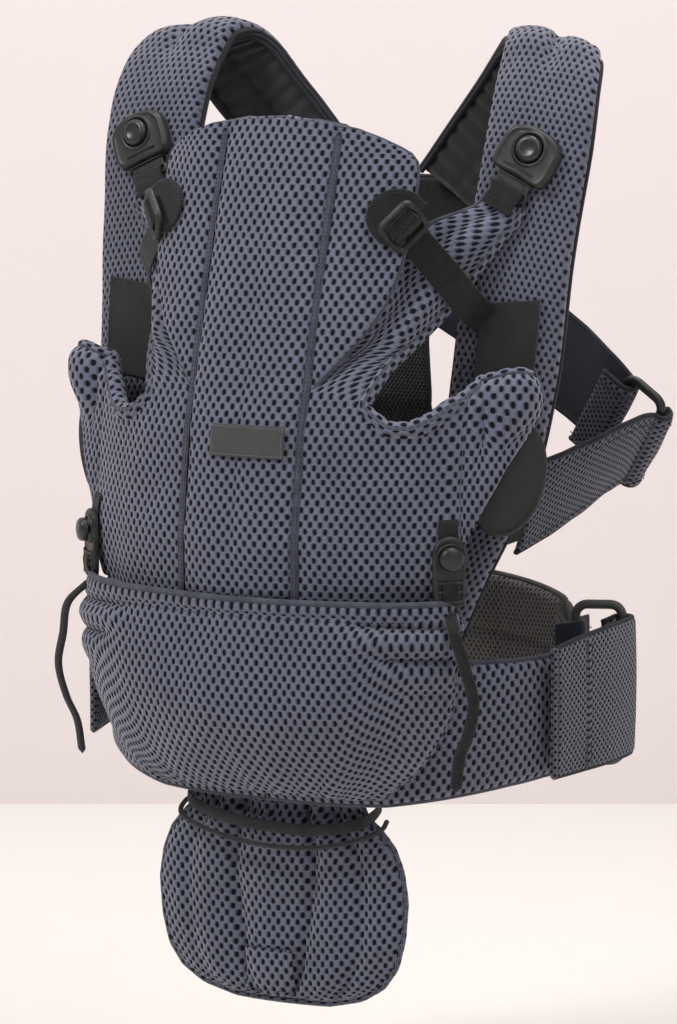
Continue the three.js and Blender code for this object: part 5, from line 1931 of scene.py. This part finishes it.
def leg_buckle(side, sign):
    """A long plate with two webbing slots below and a round head with a press knob above."""
    flat = spline([
        (11, 14, 0), (9.6, 19.5, 0), (5.5, 23.6, 0), (0, 25, 0), (-5.5, 23.6, 0), (-9.6, 19.5, 0),
        (-11, 14, 0), (-11, 0, 0),
        (-10.6, -16, 0), (-8.5, -21.2, 0), (0, -22.4, 0), (8.5, -21.2, 0), (10.6, -16, 0), (11, 0, 0),
        (11, 14, 0),
    ])(np.linspace(0, 1, 400))[:, :2]
    flat = resampled(flat, 84)
    steps = [(1.2, 0.2), (0, 1.0), (0, 3.4), (0.9, 4.3), (2.0, 4.5), (3.0, 4.1), (8.0, 4.0)]
    parts = [loft(stepped(in_leg, flat, steps))]
    for y in (-5.2, -11.2, -17.6):
        parts.append(tube(in_leg(np.linspace(-8, 8, 10), y, 4.6), 1.3, sides=10, flat=0.8))
    for x in (-8.8, 8.8):
        parts.append(tube(in_leg(x, np.linspace(-19, -3, 10), 4.4), 1.1, sides=10))
    collar = spun(
        in_leg, [(9.6, 3.6), (9.8, 4.4), (9.3, 5.4), (8.7, 5.6), (8.4, 5.2), (8.3, 4.2), (0, 4.1)], (0, 11)
    )
    parts.append(collar)
    # the webbing through the slots
    route = spline([(0, -28.0, 3.0), (0, -21.5, 3.4), (0, -14.4, 6.2), (0, -8.2, 6.6), (0, -4.0, 4.6)])

    def surface(u, v):
        p = route(v)
        return in_leg((u * 2 - 1) * 5.0, p[..., 1], p[..., 2])

    s = sheet(surface, spread(6, 0.1), spread(16, 0.04))
    parts.append(shell(s, 1.2, rim=0.6, front_slot=1, back_slot=1))
    obj = piece("leg_buckle_moulded_" + side, parts, [PLASTIC, WEBBING], sign, sharp=40)
    place(obj, "leg_buckle_" + side, "plastic", "leg_buckle_" + side)
    knob = spun(in_leg, [
        (2.8, 1.8), (2.8, 6.4), (7.2, 6.5), (7.9, 7.1), (8.0, 9.0), (7.6, 10.4), (6.6, 11.4), (5.0, 12.0),
        (3.0, 12.3), (0, 12.4),
    ], (0, 11))
    obj = piece("leg_knob_moulded_" + side, [knob], [PLASTIC_GLOSS], sign, sharp=40)
    place(obj, "leg_knob_" + side, "plastic", "leg_knob_" + side)


def leg_anchor(side, sign):
    """The webbing that is sewn to the chest and runs down behind the leg buckle to hold it."""
    sewn = on_panel(LEG_S, LEG_ANCHOR_Z, 3.2)
    route = spline([sewn, lerp(sewn, in_leg(0, 30, 0.5), 0.5), in_leg(0, 24, -0.6), in_leg(0, 10, -1.2)])

    def surface(u, v):
        return route(v) + in_leg.axes[0] * ((u * 2 - 1) * 7.0)[..., None]

    s = facing_front(sheet(surface, spread(6, 0.1), spread(16, 0.04)))
    obj = piece("leg_anchor_" + side, [shell(s, 1.4, rim=0.7)], [WEBBING], sign)
    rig.slot(obj, "webbing")
    flip = v3(sign, 1, 1) * MM
    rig.blend(
        obj, "harness", "leg_buckle_" + side, start=route(np.array([0.3]))[0] * flip,
        end=in_leg(0, 18, 0) * flip
    )


# ---- free cords: the leg straps' tails and the bib's elastics ----------------------------------------
TAIL = [
    (137.196, -112.212, 86.5), (146, -123, 74), (152, -120, 52), (157, -118, 30), (152, -116, 8),
    (145, -114, -8),
    (142, -113, -28),
]
TAIL_WIDE, TAIL_THICK = 8.0, 3.0
BIB_BAND = [
    (-67, -82, -50), (-68, -92, -52), (-63, -104, -56), (-40, -113, -62), (0, -117, -66), (42, -114, -66),
    (67, -105, -61), (71, -92, -57), (70, -82, -54),
]
BIB_CORD = [
    (-71, -82, -58), (-73, -93, -61), (-68, -107, -66), (-40, -116, -74), (4, -119, -79), (44, -116, -77),
    (71, -107, -70), (77, -93, -66), (75, -82, -63),
]


def run_length(points):
    return float(np.linalg.norm(np.diff(points, axis=0), axis=1).sum())


def cord_piece(name, route, radius, materials, sign=1.0, flat=1.0, wide=None):
    line = spline(route)(np.linspace(0, 1, 120))
    obj = piece(name, [tube(line, radius, flat=flat, wide=wide, sides=12)], materials, sign)
    path = line[np.linspace(0, len(line) - 1, 24).astype(int)] * v3(sign, 1, 1) * MM
    return obj, [tuple(p) for p in path], run_length(line) * MM


def leg_tail(side, sign):
    obj, path, length = cord_piece(
        "leg_strap_tail_" + side, TAIL, TAIL_WIDE / 2, [WEBBING], sign, flat=TAIL_THICK / TAIL_WIDE,
        wide=(0.9, 0.4, 0)
    )
    place(obj, "leg_buckle_" + side, "webbing", "leg_tail_" + side)
    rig.cord(obj, exit=path[0], length=length, diameter=TAIL_WIDE * MM, far_end="bare", stiffness="limp",
            lay="hanging", path=path)


def bib_elastics():
    band_obj, path, length = cord_piece(
        "bib_elastic_band", BIB_BAND, 4.0, [ELASTIC], flat=0.3, wide=(0, 0, 1)
    )
    place(band_obj, "bib", "elastic", "bib_band")
    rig.cord(band_obj, exit=path[0], length=length, diameter=0.008, far_end="object", stiffness="limp",
            lay="taut", path=path)
    cord_obj, path, length = cord_piece("bib_elastic_cord", BIB_CORD, 1.7, [ELASTIC])
    place(cord_obj, "bib", "elastic", "bib_cord")
    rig.cord(cord_obj, exit=path[0], length=length, diameter=0.0034, far_end="object", stiffness="limp",
            lay="taut", path=path)


# ---- bib -------------------------------------------------------------------------------------------
BIB_HALF = [
    (-190, 36), (-184, 60), (-174, 76), (-160, 86), (-140, 91), (-115, 93), (-95, 90), (-80, 84), (-68, 74),
    (-60, 65), (-52, 62), (-40, 60),
]
BIB_HIGH, BIB_LOW = -42.0, -190.0  # its neck runs up a little behind the pouch


def swell(obj, pressure, cap_mm, frames=20):
    """Blows a closed cloth body up a little by cloth simulation, and keeps every point within the cap."""
    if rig.quick():
        return
    scene = bpy.context.scene
    count = len(obj.data.vertices)
    before = np.empty(count * 3)
    obj.data.vertices.foreach_get("co", before)
    cloth = obj.modifiers.new("cloth", "CLOTH")
    cloth.settings.use_pressure = True
    cloth.settings.uniform_pressure_force = pressure
    cloth.settings.effector_weights.gravity = 0.0
    cloth.settings.quality = 6
    cloth.settings.mass = 0.3
    cloth.settings.tension_stiffness = 15
    cloth.settings.bending_stiffness = 0.5
    cloth.point_cache.frame_start, cloth.point_cache.frame_end = 1, frames
    for f in range(1, frames + 1):
        scene.frame_set(f)
    shaped = obj.evaluated_get(bpy.context.evaluated_depsgraph_get())
    after = np.empty(count * 3)
    shaped.data.vertices.foreach_get("co", after)
    obj.modifiers.remove(cloth)
    scene.frame_set(1)
    move = (after - before).reshape(-1, 3)
    size = np.linalg.norm(move, axis=1, keepdims=True)
    move = move * np.minimum(1.0, cap_mm * MM / np.maximum(size, 1e-9))
    obj.data.vertices.foreach_set("co", (before.reshape(-1, 3) + move).ravel())
    obj.data.update()


TAB_X, TAB_Z = (-20.0, 16.0), (-182.0, -152.0)


def bib_tab(cloth):
    """The small tab sewn on near the bib's lower edge, laid on the cloth wherever the folds have put it."""
    skin = BVHTree.FromPolygons(
        [v.co for v in cloth.data.vertices], [f.vertices for f in cloth.data.polygons]
    )

    def lies_at(x, z):
        hit = skin.ray_cast(Vector((x * MM, -1.0, z * MM)), Vector((0, 1, 0)))[0]
        return hit.y / MM

    us, vs = spread(15, 0.06), spread(11, 0.08)
    cloth_y = np.array([[lies_at(lerp(*TAB_X, u), lerp(*TAB_Z, v)) for u in us] for v in vs])
    cloth_y = 0.5 * cloth_y + 0.5 * cloth_y.min(axis=1, keepdims=True)

    def tab(u, v):
        return np.stack([lerp(*TAB_X, u), cloth_y.reshape(u.shape) - 0.9, lerp(*TAB_Z, v)], -1)

    t = sheet(tab, us, vs)
    grid = grid_of(t)
    parts = [shell(t, 2.4, rim=1.2)]
    for row in (1, -2):
        parts.append(stitches(grid[row, 1:-1] + v3(0, -1.4, 0), v3(0, -1, 0), slot=1))
    place(piece("bib_tab", parts, [MESH, THREAD]), "bib", "mesh_main")


def bib():
    """The soft flap that hangs below the pouch, gathered at its neck by the elastics."""
    heights = sorted(BIB_HALF)

    def surface(u, v):
        z = lerp(BIB_HIGH, BIB_LOW, v)
        s = 1 - u * 2
        y = -93 + 4 * s * s - 4 * (1 - smooth(v * 4))
        return np.stack([s * table(heights, z), y, z], -1)

    rows = np.unique(np.r_[spread(46, 0.05), 0.962, 0.978, 0.99])
    s = sheet(surface, spread(50, 0.03), rows, middle=True)
    u, v = s["u"], s["v"]
    across = 1 - u * 2
    body = np.sqrt(np.clip(np.sin(math.pi * u), 0, 1)) * smooth((1 - v) * 5 + 0.2) * smooth(v * 4 + 0.35)
    thick = lerp(7.0, 17.0, body)
    neck = smooth((0.45 - v) / 0.45)
    lean = 0.2 * (v - 0.5)
    pleats = -9.5 * (
        bump(across, -0.30 + lean, 0.05) + bump(across, 0.30 - lean, 0.05) + 0.7 * bump(across, 0.70, 0.05)
    )
    pleats -= 3.5 * (bump(across, -0.72, 0.05) + bump(across, 0.02, 0.04) * neck)
    pleats += 4.5 * (bump(across, -0.05, 0.16) + bump(across, 0.50, 0.10) + bump(across, -0.55, 0.12))
    fold = pleats * (0.6 + 0.4 * neck) * smooth((1.02 - v) / 0.12)
    squeeze = -5.0 * bump(v, 0.085, 0.05) - 1.8 * bump(v, 0.04, 0.02)
    crease = 0.9 * ripple(across * 80, v * 140, 34, 71)
    piece_body = shell(
        s, thick, rim=7.0, out=fold + squeeze + crease, inside=fold * 0.5 + squeeze, back_slot=0
    )
    cloth = piece("bib_padded", [piece_body], [MESH])
    swell(cloth, 3.0, 2.2)
    place(cloth, "bib", "mesh_main", "bib")
    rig.padded(cloth, 0.6)
    ring = np.vstack([edge(s, "left"), edge(s, "high")[1:], edge(s, "right")[::-1][1:]])
    seam = tube(evenly(ring, 3.2)[0], 2.2, slot=0)
    obj = piece("bib_edge_seam", [seam], [MESH])
    place(obj, "bib", "mesh_main")
    bib_tab(cloth)


bib()
bib_elastics()
for side, sign in SIDES:
    safety_buckle(side, sign)
    buckle_tongue(side, sign)
    head_lock(side, sign)
    lock_tab(side, sign)
    head_web(side, sign)
    size_plate(side, sign)
    leg_buckle(side, sign)
    leg_anchor(side, sign)
    leg_tail(side, sign)

# ---- sizes, written to extents.json --------------------------------------------------------------

low_high = lambda b: [list(b[0]), list(b[1])]
with open("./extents.json", "w") as out:
    json.dump({"cad": low_high(cad_box), "visual": low_high(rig.bounds())}, out)
